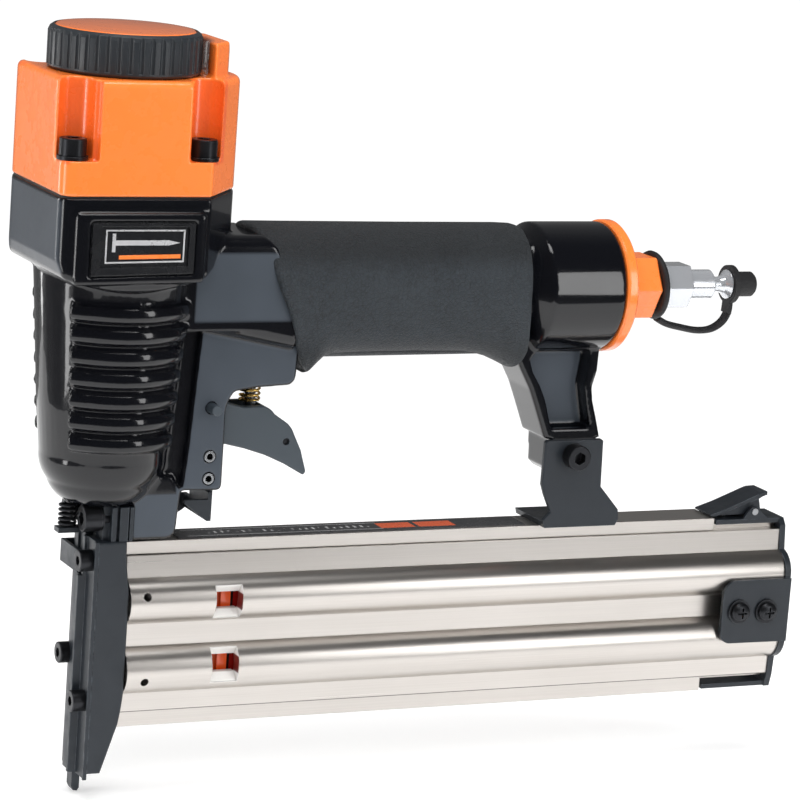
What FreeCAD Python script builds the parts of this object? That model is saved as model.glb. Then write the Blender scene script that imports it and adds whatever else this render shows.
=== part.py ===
import FreeCAD, Part
import Sketcher
import os
import math
from FreeCAD import Vector, Placement, Rotation

# Pneumatic brad nailer. Millimetres. Z runs up the drive axis, X runs back along
# the handle, the origin is on the drive axis level with the tip of the nose.
# The near side is -Y, the far side +Y.
os.makedirs("parts", exist_ok=True)
doc = FreeCAD.newDocument("nail_gun")
sheet = doc.addObject("Spreadsheet::Sheet", "Params")
written = []  # objects that get a STEP file


class Driven(object):
    """A length that carries its number and the sheet expression it comes from."""

    def __init__(self, value, text):
        self.value = float(value)
        self.text = text

    @staticmethod
    def of(other):
        return other if isinstance(other, Driven) else Driven(other, repr(float(other)))

    def __add__(self, other):
        other = Driven.of(other)
        return Driven(self.value + other.value, "(%s + %s)" % (self.text, other.text))

    __radd__ = __add__

    def __sub__(self, other):
        other = Driven.of(other)
        return Driven(self.value - other.value, "(%s - (%s))" % (self.text, other.text))

    def __rsub__(self, other):
        return Driven.of(other) - self

    def __mul__(self, other):
        other = Driven.of(other)
        return Driven(self.value * other.value, "(%s * (%s))" % (self.text, other.text))

    __rmul__ = __mul__

    def __truediv__(self, other):
        other = Driven.of(other)
        return Driven(self.value / other.value, "(%s / (%s))" % (self.text, other.text))

    def __neg__(self):
        return Driven(-self.value, "(0 - (%s))" % self.text)


class Dimensions(object):
    """Driving dimensions, one attribute for each alias of the sheet."""


dim = Dimensions()
SIZES = [
    ("head_front", -27.9, "front face of the head, X"),
    ("head_half", 27.5, "half width of the head, Y"),
    ("head_rear", 38.5, "rear of the head, X"),
    ("head_top", 196.5, "parting line of head and cap, Z"),
    ("cap_top", 233.0, "top face of the cap, Z"),
    ("gasket_thick", 0.6, "cap gasket thickness"),
    ("floor_low", 94.7, "underside of the barrel bowl, Z"),
    ("floor_top", 108.0, "floor of the cylinder, Z"),
    ("barrel_rad", 22.0, "barrel radius at mid height"),
    ("cavity_rad", 17.2, "radius of the air space round the sleeve"),
    ("sleeve_bore", 12.5, "cylinder bore radius"),
    ("sleeve_rad", 14.5, "cylinder sleeve outside radius"),
    ("sleeve_top", 204.0, "top of the sleeve, Z"),
    ("piston_z", 190.0, "underside of the piston at rest, Z"),
    ("piston_tall", 12.0, "piston height"),
    ("run_gap", 0.05, "running clearance, radial"),
    ("handle_z", 163.2, "axis height of the handle"),
    ("core_half", 15.0, "half width of the handle core"),
    ("core_tall", 18.0, "half height of the handle core"),
    ("grip_half", 18.5, "half width of the grip"),
    ("grip_tall", 21.3, "half height of the grip"),
    ("rear_rad", 21.6, "rear cylinder radius"),
    ("rear_end", 175.0, "rear face of the casting, X"),
    ("cheek_out", 12.0, "outside of the trigger cheeks, Y"),
    ("cheek_in", 9.0, "inside of the trigger cheeks, Y"),
    ("pivot_x", 32.0, "trigger pivot, X"),
    ("pivot_z", 126.5, "trigger pivot, Z"),
    ("pin_rad", 1.75, "trigger pin radius"),
    ("valve_x", 50.0, "trigger valve axis, X"),
    ("valve_bore", 5.5, "trigger valve bore radius"),
    ("stem_rad", 2.0, "trigger valve stem radius"),
    ("mag_front", 7.6, "front end of the magazine, X"),
    ("rail_end", 225.0, "rear end of the fixed rail, X"),
    ("slide_end", 251.0, "rear end of the sliding channel, X"),
    ("mag_top", 81.9, "top of the rail, Z"),
    ("mag_low", 20.0, "bottom of the rail, Z"),
    ("gap_half", 0.9, "half width of the nail gap"),
    ("bulge", 5.6, "height of the rounded flutes on the side"),
    ("foot_front", 7.3, "front of the casting foot, X"),
    ("nose_top", 83.5, "top of the driver guide, Z"),
    ("nose_half", 13.0, "half width of the nose"),
    ("blade_thick", 1.4, "driver blade thickness, X"),
    ("blade_wide", 4.0, "driver blade width, Y"),
    ("knob_rad", 24.3, "deflector knob radius"),
    ("knob_top", 246.5, "top rim of the knob, Z"),
    ("flutes", 44, "flutes round the knob"),
    ("cap_flange_rad", 22.3, "end cap flange radius"),
    ("hex_orange", 20.5, "end cap hexagon across flats"),
    ("hex_plug", 14.3, "air plug hexagon across flats"),
    ("collar_rad", 5.1, "air plug collar radius"),
    ("screw_head", 4.25, "M5 socket head radius"),
    ("screw_rad", 2.5, "M5 thread radius"),
    ("small_head", 3.5, "M4 socket head radius"),
    ("small_rad", 2.0, "M4 thread radius"),
    ("socket_five", 4.0, "M5 socket across flats"),
    ("socket_four", 3.0, "M4 socket across flats"),
    ("rib_tall", 5.4, "height of one cooling rib"),
    ("rib_pitch", 7.05, "pitch of the cooling ribs"),
    ("rib_out", 2.6, "rib height above the barrel"),
    ("leg_half", 9.0, "half width of the rear leg"),
    ("sheet_thick", 1.6, "tail bracket sheet"),
]
for row, (alias, value, meaning) in enumerate(SIZES, 1):
    sheet.set("A%d" % row, meaning)
    sheet.set("B%d" % row, str(value))
    sheet.setAlias("B%d" % row, alias)
    setattr(dim, alias, Driven(value, "Params." + alias))
doc.recompute()

# Turns that lay a piece's own Z along another direction.
TO_REAR = Rotation(Vector(0, 1, 0), 90)
TO_FRONT = Rotation(Vector(0, 1, 0), -90)
TO_NEAR = Rotation(Vector(1, 0, 0), 90)


# ---------------------------------------------------------------- helpers
def number(length):
    return length.value if isinstance(length, Driven) else float(length)


def bind(obj, prop, length):
    setattr(obj, prop, number(length))
    if isinstance(length, Driven):
        obj.setExpression(prop, length.text)


def place(obj, x=0, y=0, z=0, turned=None):
    obj.Placement = Placement(Vector(number(x), number(y), number(z)), turned or Rotation())
    for axis, length in (("x", x), ("y", y), ("z", z)):
        if isinstance(length, Driven):
            obj.setExpression("Placement.Base." + axis, length.text)
    return obj


def keep(obj):
    """Mark an object for export under its own name."""
    obj.Label = obj.Name
    written.append(obj)
    return obj


def helper_body(name):
    piece = doc.addObject("PartDesign::Body", name)
    piece.Label = name
    return piece


def body(name):
    return keep(helper_body(name))


def origin_item(piece, role):
    return [item for item in piece.Origin.OriginFeatures if item.Role == role][0]


def sketch(piece, plane, start):
    drawing = piece.newObject("Sketcher::SketchObject", piece.Name + "_sk")
    drawing.AttachmentSupport = [(origin_item(piece, plane + "_Plane"), "")]
    drawing.MapMode = "FlatFace"
    if start:
        drawing.AttachmentOffset = Placement(Vector(0, 0, number(start)), Rotation())
        if isinstance(start, Driven):
            drawing.setExpression("AttachmentOffset.Base.z", start.text)
    return drawing


def pin_point(drawing, curve, end, x, y):
    """Fix one point of a curve; a plain zero ties it to the sketch axis instead."""
    for kind, length, axis in (("DistanceX", x, -2), ("DistanceY", y, -1)):
        if not isinstance(length, Driven) and abs(length) < 1e-9:
            drawing.addConstraint(Sketcher.Constraint("PointOnObject", curve, end, axis))
            continue
        rule = drawing.addConstraint(
            Sketcher.Constraint(kind, -1, 1, curve, end, number(length)))
        if isinstance(length, Driven):
            drawing.setExpression("Constraints[%d]" % rule, length.text)


def loop(drawing, outline):
    """Closed outline; a third value on a point bows the side that starts there."""
    curves = []
    for i, point in enumerate(outline):
        after = outline[(i + 1) % len(outline)]
        begin = Vector(number(point[0]), number(point[1]), 0)
        finish = Vector(number(after[0]), number(after[1]), 0)
        sag = number(point[2]) if len(point) > 2 else 0
        if sag:
            along = finish - begin
            left = Vector(-along.y, along.x, 0)
            left.normalize()
            middle = (begin + finish) * 0.5 + left * sag
            curve = drawing.addGeometry(Part.Arc(begin, middle, finish))
            # The sketch may store the arc with its ends swapped.
            forward = (drawing.getPoint(curve, 1) - begin).Length < 1e-6
            curves.append((curve, 1, 2) if forward else (curve, 2, 1))
        else:
            curves.append((drawing.addGeometry(Part.LineSegment(begin, finish)), 1, 2))
    for i, (curve, first, last) in enumerate(curves):
        following, next_first, _ = curves[(i + 1) % len(curves)]
        drawing.addConstraint(
            Sketcher.Constraint("Coincident", curve, last, following, next_first))
        pin_point(drawing, curve, first, outline[i][0], outline[i][1])


def ring(drawing, x, y, radius):
    circle = Part.Circle(Vector(number(x), number(y), 0), Vector(0, 0, 1), number(radius))
    curve = drawing.addGeometry(circle)
    rule = drawing.addConstraint(Sketcher.Constraint("Radius", curve, number(radius)))
    if isinstance(radius, Driven):
        drawing.setExpression("Constraints[%d]" % rule, radius.text)
    pin_point(drawing, curve, 3, x, y)


# Outlines are lists of (across, up[, sag]): X, Y in an XY sketch, X, Z in an XZ
# sketch and Y, Z in a YZ sketch. Circles are (across, up, radius).
# Without a start an extrusion is symmetric about its plane. With one, the sketch
# is shifted by it along the plane normal: +Z for XY, -Y for XZ, +X for YZ. A pad
# then runs along the normal and a pocket against it, unless rev is set.
def extrude(piece, kind, plane, outline, circles, length, start, rev):
    drawing = sketch(piece, plane, start)
    if outline:
        loop(drawing, outline)
    for circle in circles:
        ring(drawing, *circle)
    feature = piece.newObject("PartDesign::" + kind, piece.Name + "_" + kind.lower())
    feature.Profile = drawing
    feature.SideType = "Symmetric" if start is None else "One side"
    bind(feature, "Length", length)
    feature.Reversed = rev
    piece.Tip = feature
    return feature


def pad(piece, plane, outline, length, start=None, holes=(), rev=False):
    return extrude(piece, "Pad", plane, outline, holes, length, start, rev)


def disc(piece, radius, length, hole=None, plane="XY", start=0, up=0, rev=False):
    circles = [(0, up, radius)] + ([] if hole is None else [(0, up, hole)])
    return extrude(piece, "Pad", plane, None, circles, length, start, rev)


def cut(piece, plane, outline, length=400, start=None, rev=False):
    return extrude(piece, "Pocket", plane, outline, (), length, start, rev)


def bore(piece, plane, circles, length=400, start=None, rev=False):
    return extrude(piece, "Pocket", plane, None, circles, length, start, rev)


def spin(piece, *profiles, angle=360, plane="XZ"):
    """Turn profiles of (radius, height[, sag]) about Z; a part turn is centred."""
    drawing = sketch(piece, plane, 0)
    for profile in profiles:
        loop(drawing, profile)
    feature = piece.newObject("PartDesign::Revolution", piece.Name + "_turn")
    feature.Profile = drawing
    feature.ReferenceAxis = (drawing, ["V_Axis"])
    feature.Angle = angle
    if angle < 360:
        feature.Midplane = True
    piece.Tip = feature


def soften(piece, size, test, kind="Fillet"):
    """Round edges of the tip that pass the test; step the size down if it fails.

    The test is given each edge's bounding box and centre of mass.
    """
    doc.recompute()
    tip = piece.Tip
    names = ["Edge%d" % i for i, edge in enumerate(tip.Shape.Edges, 1)
             if test(edge.BoundBox, edge.CenterOfMass)]
    if not names:
        return
    feature = piece.newObject("PartDesign::" + kind, piece.Name + "_soft")
    feature.Base = (tip, names)
    for trial in (size, size * 0.6, size * 0.3):
        setattr(feature, "Radius" if kind == "Fillet" else "Size", trial)
        piece.Tip = feature
        doc.recompute()
        failed = "Invalid" in feature.State or "Error" in feature.State
        if not failed and feature.Shape.isValid() and feature.Shape.Volume > 0:
            return
    piece.Tip = tip
    piece.removeObject(feature)
    doc.removeObject(feature.Name)
    doc.recompute()


def flat_in_y(box, mid):
    """Picks edges that lie in a plane across Y, the rims of an XZ pad."""
    return box.YLength < 0.1


def long_in_x(box, mid):
    return box.XLength > 50


def box_between(name, xs, ys, zs):
    obj = doc.addObject("Part::Box", name)
    lows = []
    for prop, ends in (("Length", xs), ("Width", ys), ("Height", zs)):
        low, high = sorted(ends)
        bind(obj, prop, high - low)
        lows.append(low)
    return place(obj, *lows)


def cylinder(name, radius, height, x=0, y=0, z=0, turned=None):
    obj = doc.addObject("Part::Cylinder", name)
    bind(obj, "Radius", radius)
    bind(obj, "Height", height)
    return place(obj, x, y, z, turned)


def torus(name, radius, section, x=0, y=0, z=0, turned=None):
    obj = doc.addObject("Part::Torus", name)
    bind(obj, "Radius1", radius)
    bind(obj, "Radius2", section)
    return place(obj, x, y, z, turned)


def fuse(name, objs):
    obj = doc.addObject("Part::MultiFuse", name)
    obj.Shapes = objs
    obj.Refine = True
    return obj


def minus(name, base, tool):
    obj = doc.addObject("Part::Cut", name)
    obj.Base = base
    obj.Tool = tool
    obj.Refine = True
    return obj


def compound(name, objs):
    obj = doc.addObject("Part::Compound", name)
    obj.Links = objs
    return keep(obj)


def group(name, base, spots, turned=None):
    """Separate solids of one fastener, copied to each spot."""
    doc.recompute()
    copies = []
    for i, (x, y, z) in enumerate(spots):
        obj = doc.addObject("Part::Feature", "%s_%d" % (name, i))
        obj.Shape = base.Shape.copy()
        copies.append(place(obj, number(x), number(y), number(z), turned))
    return compound(name, copies)


def rect(x0, x1, y0, y1):
    return [(x0, y0), (x1, y0), (x1, y1), (x0, y1)]


def hexagon(across):
    half = across / 2
    rise = 1 / math.sqrt(3)
    return [(-half, -(half * rise)), (0, -(half * 2 * rise)), (half, -(half * rise)),
            (half, half * rise), (0, half * 2 * rise), (-half, half * rise)]


def octagon(half, tall, mid_z, corner, side):
    """Eight-sided section; corner is its run across, side half its flat flank."""
    flat = half - corner
    return [(-half, mid_z - side), (-flat, mid_z - tall), (flat, mid_z - tall),
            (half, mid_z - side), (half, mid_z + side), (flat, mid_z + tall),
            (-flat, mid_z + tall), (-half, mid_z + side)]


def tube(name, inner, outer, height, x=0, y=0, z=0):
    """Spring drawn as a plain tube."""
    piece = body(name)
    spin(piece, rect(inner, outer, 0, height))
    return place(piece, x, y, z)


def socket_screw(piece, head_tall, length, head_rad=dim.screw_head,
                 thread_rad=dim.screw_rad, across=dim.socket_five):
    """Head above the local XY plane, thread below it."""
    disc(piece, head_rad, head_tall)
    soften(piece, 0.45, lambda box, mid: box.ZMin > head_tall - 0.05)
    cut(piece, "XY", hexagon(across), head_tall * 0.62, start=head_tall + 0.01)
    disc(piece, thread_rad, length, rev=True)
    return piece


def head_plan(inset=0.0):
    """Outline of the head seen from above, counter-clockwise."""
    front = dim.head_front + inset
    rear = dim.head_rear - 3.5 - inset
    half = dim.head_half - inset
    shoulder = 21.0 - 0.5 * inset
    bow = 1 - inset * 0.15
    return [(front, -(dim.head_half - 4.2), -0.9 * bow), (dim.head_front + 3.8, -half),
            (shoulder, -half), (rear, -10.5, -3.0), (rear, 10.5), (shoulder, half),
            (dim.head_front + 4.2, half, -1.0 * bow), (front, dim.head_half - 8.6)]


# ---------------------------------------------------------------- shared places
HEAD_BORE = 22.6  # radius of the wide bore across the parting line
CAP_BORE = 18.1  # radius of the bore the head valve runs in
CAP_SCREWS = [(-23.4, -21.5), (19.9, -21.5), (-19.9, 21.5), (19.9, 21.5)]  # X, Y
CAP_SEAT_Z = 208.0  # floor of the cap screw recesses
CAP_WASHER = 1.2  # thickness
REAR_START = 142.0  # front of the rear cylinder, X
BARREL_MID_Z = 127.6  # where the barrel has its named radius
ROLL_PINS = [(32.4, 110.5), (32.4, 103.2)]  # X, Z
ROLL_RAD = 1.85
NOSE_BOLTS = [(-7.5, 90.4), (7.5, 90.4)]  # Y, Z
NOSE_WASHER = 0.8  # thickness
CLAMP_FRONT = -2.0  # front face of the nose clamp, X
NOSE_SCREWS = [(-7.9, 76.6), (-7.9, 30.0), (6.0, 42.3)]  # Y, Z
LEG_BOLT = (165.5, 106.8)  # X, Z
LEVER_PIN = (61.2, 113.4)  # X, Z
LATCH_PIN = (241.0, 83.8)  # X, Z
END_SCREWS = [(232.7, 50.6), (243.6, 50.3)]  # X, Z
SMALL_PIN_RAD = 1.2  # lever pin and latch pin

# ---------------------------------------------------------------- casting
# Head block, with its underside shaped from the side.
head = helper_body("head_block")
head_low = 160.0
pad(head, "XY", head_plan(), dim.head_top - head_low, start=head_low)
head_underside = [
    (-45, 140), (-45, 177), (-27.9, 177), (-26.0, 171.2, -5.2), (25.5, 173.0),
    (30, 180), (45, 184.5), (60, 184.5), (60, 140)]
cut(head, "XZ", head_underside)
soften(head, 2.2, lambda box, mid: mid.z < 186 and box.ZMax < 186.5 and mid.x < 30)

# Raised badge surround on the near flank.
frame = helper_body("badge_frame")
frame_outline = [(-23.3, 169.6), (19.7, 170.4), (19.7, 192.3), (-23.3, 192.3)]
frame_window = [(-18.6, 172.2), (16.3, 173.0), (16.3, 189.8), (-18.6, 189.8)]
pad(frame, "XZ", frame_outline, 3.0, start=dim.head_half - 1.4)
soften(frame, 1.0, lambda box, mid: box.YLength > 2.5 or box.YMax < -28.9)
cut(frame, "XZ", frame_window, 4.0, start=dim.head_half, rev=True)

# Barrel with its bowl-shaped floor.
barrel = helper_body("barrel_turn")
barrel_profile = [
    (0, dim.floor_low), (11.5, dim.floor_low, -1.0), (17.6, 101.6, -0.9),
    (dim.barrel_rad - 1.6, 110.5), (dim.barrel_rad, BARREL_MID_Z),
    (dim.barrel_rad + 2.3, 160), (dim.barrel_rad + 3.2, 172),
    (dim.barrel_rad + 3.2, 182), (0, 182)]
spin(barrel, barrel_profile)


def rib_outline(index, side):
    """One cooling rib, counted down from the top; its radius follows the barrel."""
    mid_z = 159.4 - index * dim.rib_pitch
    out = dim.barrel_rad + 0.07 * (mid_z - BARREL_MID_Z) + dim.rib_out
    low = mid_z - dim.rib_tall / 2
    high = mid_z + dim.rib_tall / 2
    points = [(18.0, low), (out - 1.6, low), (out - 0.5, low + 0.7), (out, mid_z - 0.9),
              (out, mid_z + 0.4), (out - 0.4, high - 0.6), (out - 1.6, high), (18.0, high)]
    if side < 0:
        # Mirrored, and listed backwards so that it stays counter-clockwise.
        points = [(-y, z) for y, z in points[:1] + points[:0:-1]]
    return points


RIB_COUNT = 7
ribs = []
for side, rib_name in ((-1, "rib_near"), (1, "rib_far")):
    rib_set = helper_body(rib_name)
    spin(rib_set, *[rib_outline(i, side) for i in range(RIB_COUNT)], angle=98, plane="YZ")
    ribs.append(rib_set)

# Neck between head and handle.
neck = helper_body("neck_web")
neck_outline = [
    (10, 182.9), (46.2, 182.6), (50.2, 178.7, -0.5), (54.4, 165.7, -0.3),
    (57.7, 152.6), (58.6, 145.6), (26.0, 152.4), (16, 152.4), (16, 160)]
pad(neck, "XZ", neck_outline, 33.0)
soften(neck, 5.0, lambda box, mid: box.YLength < 0.1 and mid.z > 180 and box.XLength > 5)
soften(neck, 4.4, lambda box, mid: box.YLength < 0.1 and mid.z < 154 and box.XLength > 20)


def core_section(gap=0.0):
    """Section of the handle core, grown all round by a gap."""
    return octagon(dim.core_half + gap, dim.core_tall + gap - 1.6, dim.handle_z,
                   corner=6.5, side=6.0)


core = helper_body("handle_core")
pad(core, "YZ", core_section(), 110.0, start=40.0)
soften(core, 5.0, long_in_x)

# Rear cylinder of the handle.
rear = helper_body("rear_barrel")
rear_long = dim.rear_end - REAR_START
spin(rear, [(0, 0), (15.0, 0), (16.5, 1.5), (dim.rear_rad, 6.0),
            (dim.rear_rad, rear_long - 0.6), (dim.rear_rad - 0.6, rear_long),
            (0, rear_long)])
place(rear, REAR_START, 0, dim.handle_z, TO_REAR)

# Block that takes the trigger valve.
valve = helper_body("valve_block")
valve_outline = [
    (36.0, 155), (36.0, 134.0), (39.0, 132.3), (58.0, 133.2, -0.6),
    (61.0, 135.6), (61.4, 146.5), (58.6, 147.2), (57.0, 155)]
pad(valve, "XZ", valve_outline, dim.cheek_out * 2)
soften(valve, 0.8, lambda box, mid: box.YLength < 0.1 and mid.z < 146)

# Cheeks either side of the trigger, parted by a slot.
cheeks = helper_body("trigger_cheeks")
cheek_outline = [
    (27.0, 153.5), (26.2, 142.3), (25.4, 129.3), (24.4, 112.9), (23.1, 99.4),
    (35.6, 99.0, -0.5), (37.5, 100.9), (37.3, 125.2, 0.6), (40.0, 131.6),
    (52.0, 133.4), (52.0, 150.0), (30, 153.5)]
pad(cheeks, "XZ", cheek_outline, dim.cheek_out * 2)
soften(cheeks, 0.7, flat_in_y)
cheek_slot = [(15, 90), (60, 90), (60, 134.4), (27.6, 134.4), (15, 134.4)]
cut(cheeks, "XZ", cheek_slot, dim.cheek_in * 2)

# Upright web behind the barrel.
web = helper_body("column_web")
web_outline = [(8, 97.5), (23.0, 98.2, -0.8), (25.6, 103.0), (27.6, 150), (27.6, 166),
               (8, 166)]
pad(web, "XZ", web_outline, dim.cheek_in * 2 + 0.6)

# Rear leg, with a pocket in each flank and a hole for the bracket bolt.
leg = helper_body("leg_web")
leg_outline = [
    (141.4, 150), (141.2, 141.8), (144.9, 135.1), (148.2, 129.4), (150.6, 123.7),
    (153.1, 117.5), (155.1, 112.4), (157.6, 112.0), (158.5, 101.5), (160.5, 99.5),
    (171.0, 99.5), (173.5, 102.0), (174.2, 112.2), (176.2, 112.4), (174.4, 118.8),
    (172.4, 125.0), (171.7, 129.8), (173.1, 135.1), (173.4, 142.3), (172.5, 150)]
leg_pocket = [
    (150.0, 143.0), (147.2, 139.6), (148.6, 135.6), (151.8, 130.7), (154.2, 125.6),
    (156.2, 119.2), (157.4, 115.8), (172.0, 115.8), (170.2, 122.5), (168.6, 130.4),
    (169.6, 138.0), (169.9, 142.5)]
pad(leg, "XZ", leg_outline, dim.leg_half * 2)
soften(leg, 1.0, lambda box, mid: box.YLength < 0.1 and mid.z > 113 and mid.z < 149)
cut(leg, "XZ", leg_pocket, 6.2, start=dim.leg_half + 0.2)
cut(leg, "XZ", leg_pocket, 6.2, start=-(dim.leg_half + 0.2), rev=True)
bore(leg, "XZ", [LEG_BOLT + (dim.screw_rad + 0.1,)])

# Foot that stands on the nose.
foot = helper_body("foot_block")
foot_low = dim.nose_top + 0.2
foot_outline = [(dim.foot_front, foot_low), (19.5, foot_low, -0.8), (22.5, 87.0),
                (23.5, 99.0), (20.0, 104), (dim.foot_front, 104)]
pad(foot, "XZ", foot_outline, 24.0)
soften(foot, 1.0, lambda box, mid: box.YLength < 0.1 and mid.z < 98 and mid.x > 8)

casting = fuse("casting_solid", [head, frame, barrel] + ribs
               + [neck, core, rear, valve, cheeks, web, leg, foot])
hollows = [
    cylinder("c_main", dim.cavity_rad, 100.0, 0, 0, dim.floor_top),
    cylinder("c_head", HEAD_BORE, 30.0, 0, 0, 176.5),
    cylinder("c_blade", 4.2, 40.0, 0, 0, 75.0),
    cylinder("c_chamber", 12.4, 140.0, 12.0, 0, dim.handle_z, TO_REAR),
    cylinder("c_rear", 17.0, 40.0, 152.0, 0, dim.handle_z, TO_REAR),
    cylinder("c_valve", dim.valve_bore, 30.0, dim.valve_x, 0, 126.0),
    cylinder("c_pivot", dim.pin_rad, 60.0, dim.pivot_x, 30, dim.pivot_z, TO_NEAR),
]
for letter, (x, z) in zip("ab", ROLL_PINS):
    hollows.append(cylinder("c_roll_" + letter, ROLL_RAD, 60.0, x, 30, z, TO_NEAR))
for i, (x, y) in enumerate(CAP_SCREWS):
    hollows.append(cylinder("c_tap%d" % i, dim.screw_rad, 40.0, x, y, 181.0))
for i, (y, z) in enumerate(NOSE_BOLTS):
    hollows.append(cylinder("c_mount%d" % i, dim.screw_rad, 30.0, -6.0, y, z, TO_REAR))
keep(minus("gun_body", casting, fuse("casting_cuts", hollows)))

# Badge plate inside the surround.
badge = body("badge_plate")
badge_outline = [(-18.4, 172.4), (16.1, 173.2), (16.1, 189.6), (-18.4, 189.6)]
pad(badge, "XZ", badge_outline, 0.9, start=dim.head_half)

# ---------------------------------------------------------------- cap and gasket
gasket = body("cap_gasket")
gasket_holes = [(0, 0, HEAD_BORE)] + [(x, y, dim.screw_rad + 0.2) for x, y in CAP_SCREWS]
pad(gasket, "XY", head_plan(0.6), dim.gasket_thick, start=dim.head_top, holes=gasket_holes)

cap_block = helper_body("cap_block")
pad(cap_block, "XY", head_plan(), dim.cap_top - dim.head_top - dim.gasket_thick,
    start=dim.head_top + dim.gasket_thick)
soften(cap_block, 2.0, lambda box, mid: box.ZMin > 232.9)

# Lug that rises behind the knob, cut back to its rear part above the cap.
lug = helper_body("cap_lug")
pad(lug, "XY", head_plan(4.2), 18.0, start=226.0)
bore(lug, "XY", [(0, 0, dim.knob_rad + 2.0)], 12.0, start=dim.cap_top, rev=True)
cut(lug, "XY", rect(-40, 23.5, -40, 40), 12.0, start=dim.cap_top, rev=True)
cut(lug, "XZ", [(36.7, 233.0), (36.7, 250), (29.2, 250), (31.2, 243.6)])
soften(lug, 1.2, lambda box, mid: box.ZMax > 234)

cap_tools = [cylinder("k_wide", HEAD_BORE, 10.0, 0, 0, 195.0),
             cylinder("k_bore", CAP_BORE, 19.0, 0, 0, 203.0),
             cylinder("k_post", 3.95, 20.0, 0, 0, 221.0)]
for i in range(6):
    angle = math.radians(60 * i + 30)
    cap_tools.append(cylinder("k_port%d" % i, 2.6, 20.0,
                              12 * math.cos(angle), 12 * math.sin(angle), 218.0))
# Each screw recess is a round seat opened out to the flank of the cap.
recess_z = (CAP_SEAT_Z, 250.0)
for i, (x, y) in enumerate(CAP_SCREWS):
    side = -1 if y < 0 else 1
    seat_rad = 5.4 if y < 0 or x > 0 else 4.95
    outward = (y, y + side * 12)
    cap_tools += [
        cylinder("k_hole%d" % i, dim.screw_rad + 0.2, 20.0, x, y, 195.0),
        cylinder("k_seat%d" % i, seat_rad, 40.0, x, y, CAP_SEAT_Z),
        box_between("k_slot%d" % i, (x - seat_rad, x + seat_rad), outward, recess_z),
        box_between("k_flare%d" % i, (x, x - math.copysign(6.9, x)),
                    (side * 24.9, side * 34), recess_z)]
    if x < 0 and y < 0:
        # The near front recess is open to the front as well.
        cap_tools.append(box_between("k_open%d" % i, (x - 12.0, x), outward, recess_z))
keep(minus("cylinder_cap", fuse("cap_solid", [cap_block, lug]), fuse("cap_cuts", cap_tools)))

cap_screw = socket_screw(helper_body("screw_five"), 5.5, 27.0)
nose_screw = socket_screw(helper_body("screw_four"), 4.6, 9.0, dim.small_head,
                          dim.small_rad, dim.socket_four)
cap_washer = helper_body("washer_five")
disc(cap_washer, 4.9, CAP_WASHER, hole=dim.screw_rad + 0.2)
group("cap_screws", cap_screw, [(x, y, CAP_SEAT_Z + CAP_WASHER) for x, y in CAP_SCREWS])
group("cap_washers", cap_washer, [(x, y, CAP_SEAT_Z) for x, y in CAP_SCREWS])

# ---------------------------------------------------------------- cylinder and piston
sleeve = body("cylinder_sleeve")
spin(sleeve, [(dim.sleeve_bore, dim.floor_top), (dim.cavity_rad, dim.floor_top),
              (dim.cavity_rad, dim.floor_top + 4.0), (dim.sleeve_rad, dim.floor_top + 6.0),
              (dim.sleeve_rad, dim.sleeve_top - 0.8), (dim.sleeve_rad - 0.8, dim.sleeve_top),
              (dim.sleeve_bore, dim.sleeve_top)])
keep(torus("sleeve_seal", dim.sleeve_rad + 1.25, 1.2, 0, 0, 199.0))

bumper = body("bumper")
spin(bumper, [(4.4, 0), (12.3, 0), (12.3, 7.5, -0.4), (10.8, 9.4), (4.4, 9.4)])
place(bumper, 0, 0, dim.floor_top)

# Piston, with a groove for its O-ring and a socket for the blade's root.
piston = body("piston")
piston_rad = dim.sleeve_bore - dim.run_gap
spin(piston, [(3.0, 0), (piston_rad - 1.0, 0), (piston_rad, 1.0), (piston_rad, 4.8),
              (10.1, 4.8), (10.1, 7.3), (piston_rad, 7.3), (piston_rad, dim.piston_tall),
              (0, dim.piston_tall), (0, 8.0), (3.0, 8.0)])
place(piston, 0, 0, dim.piston_z)
keep(torus("piston_oring", 11.26, 1.14, 0, 0, dim.piston_z + 6.05))

blade = body("driver_blade")
blade_x, blade_y = dim.blade_thick / 2, dim.blade_wide / 2
pad(blade, "XY", rect(-blade_x, blade_x, -blade_y, blade_y), 118.0, start=0, rev=True)
disc(blade, 3.0, 7.9)
place(blade, 0, 0, dim.piston_z)

head_valve = body("head_valve")
valve_rad = CAP_BORE - dim.run_gap
spin(head_valve, [(11.0, 0), (valve_rad, 0), (valve_rad, 3.4), (16.6, 3.4), (16.6, 5.8),
                  (valve_rad, 5.8), (valve_rad, 9.0), (14.0, 9.0), (14.0, 5.0),
                  (11.0, 5.0)])
place(head_valve, 0, 0, dim.sleeve_top + 0.4)
keep(torus("head_valve_oring", 17.3, 0.68, 0, 0, dim.sleeve_top + 5.0))
tube("head_valve_spring", 11.8, 13.6, 12.0, z=dim.sleeve_top + 5.6)

# ---------------------------------------------------------------- exhaust deflector
# Knob with small flutes round its rim.
knob = body("deflector_knob")
knob_rad, knob_top = dim.knob_rad, dim.knob_top
spin(knob, [(4.0, 233.2), (9.0, 233.2), (9.0, 239.2), (20.5, 239.2), (20.5, 233.2),
            (knob_rad - 0.8, 233.2), (knob_rad, 234.0), (knob_rad, knob_top - 1.9),
            (knob_rad - 0.55, knob_top - 0.7), (knob_rad - 1.5, knob_top),
            (22.3, knob_top), (22.3, 241.8), (4.0, 241.8)])
flute = bore(knob, "XY", [(knob_rad + 0.35, 0, 0.95)], 20.0, start=234.6, rev=True)
pattern = knob.newObject("PartDesign::PolarPattern", "knob_flutes")
pattern.Originals = [flute]
pattern.Axis = (origin_item(knob, "Z_Axis"), [""])
pattern.Angle = 360
pattern.setExpression("Occurrences", dim.flutes.text)
knob.Tip = pattern

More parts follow.
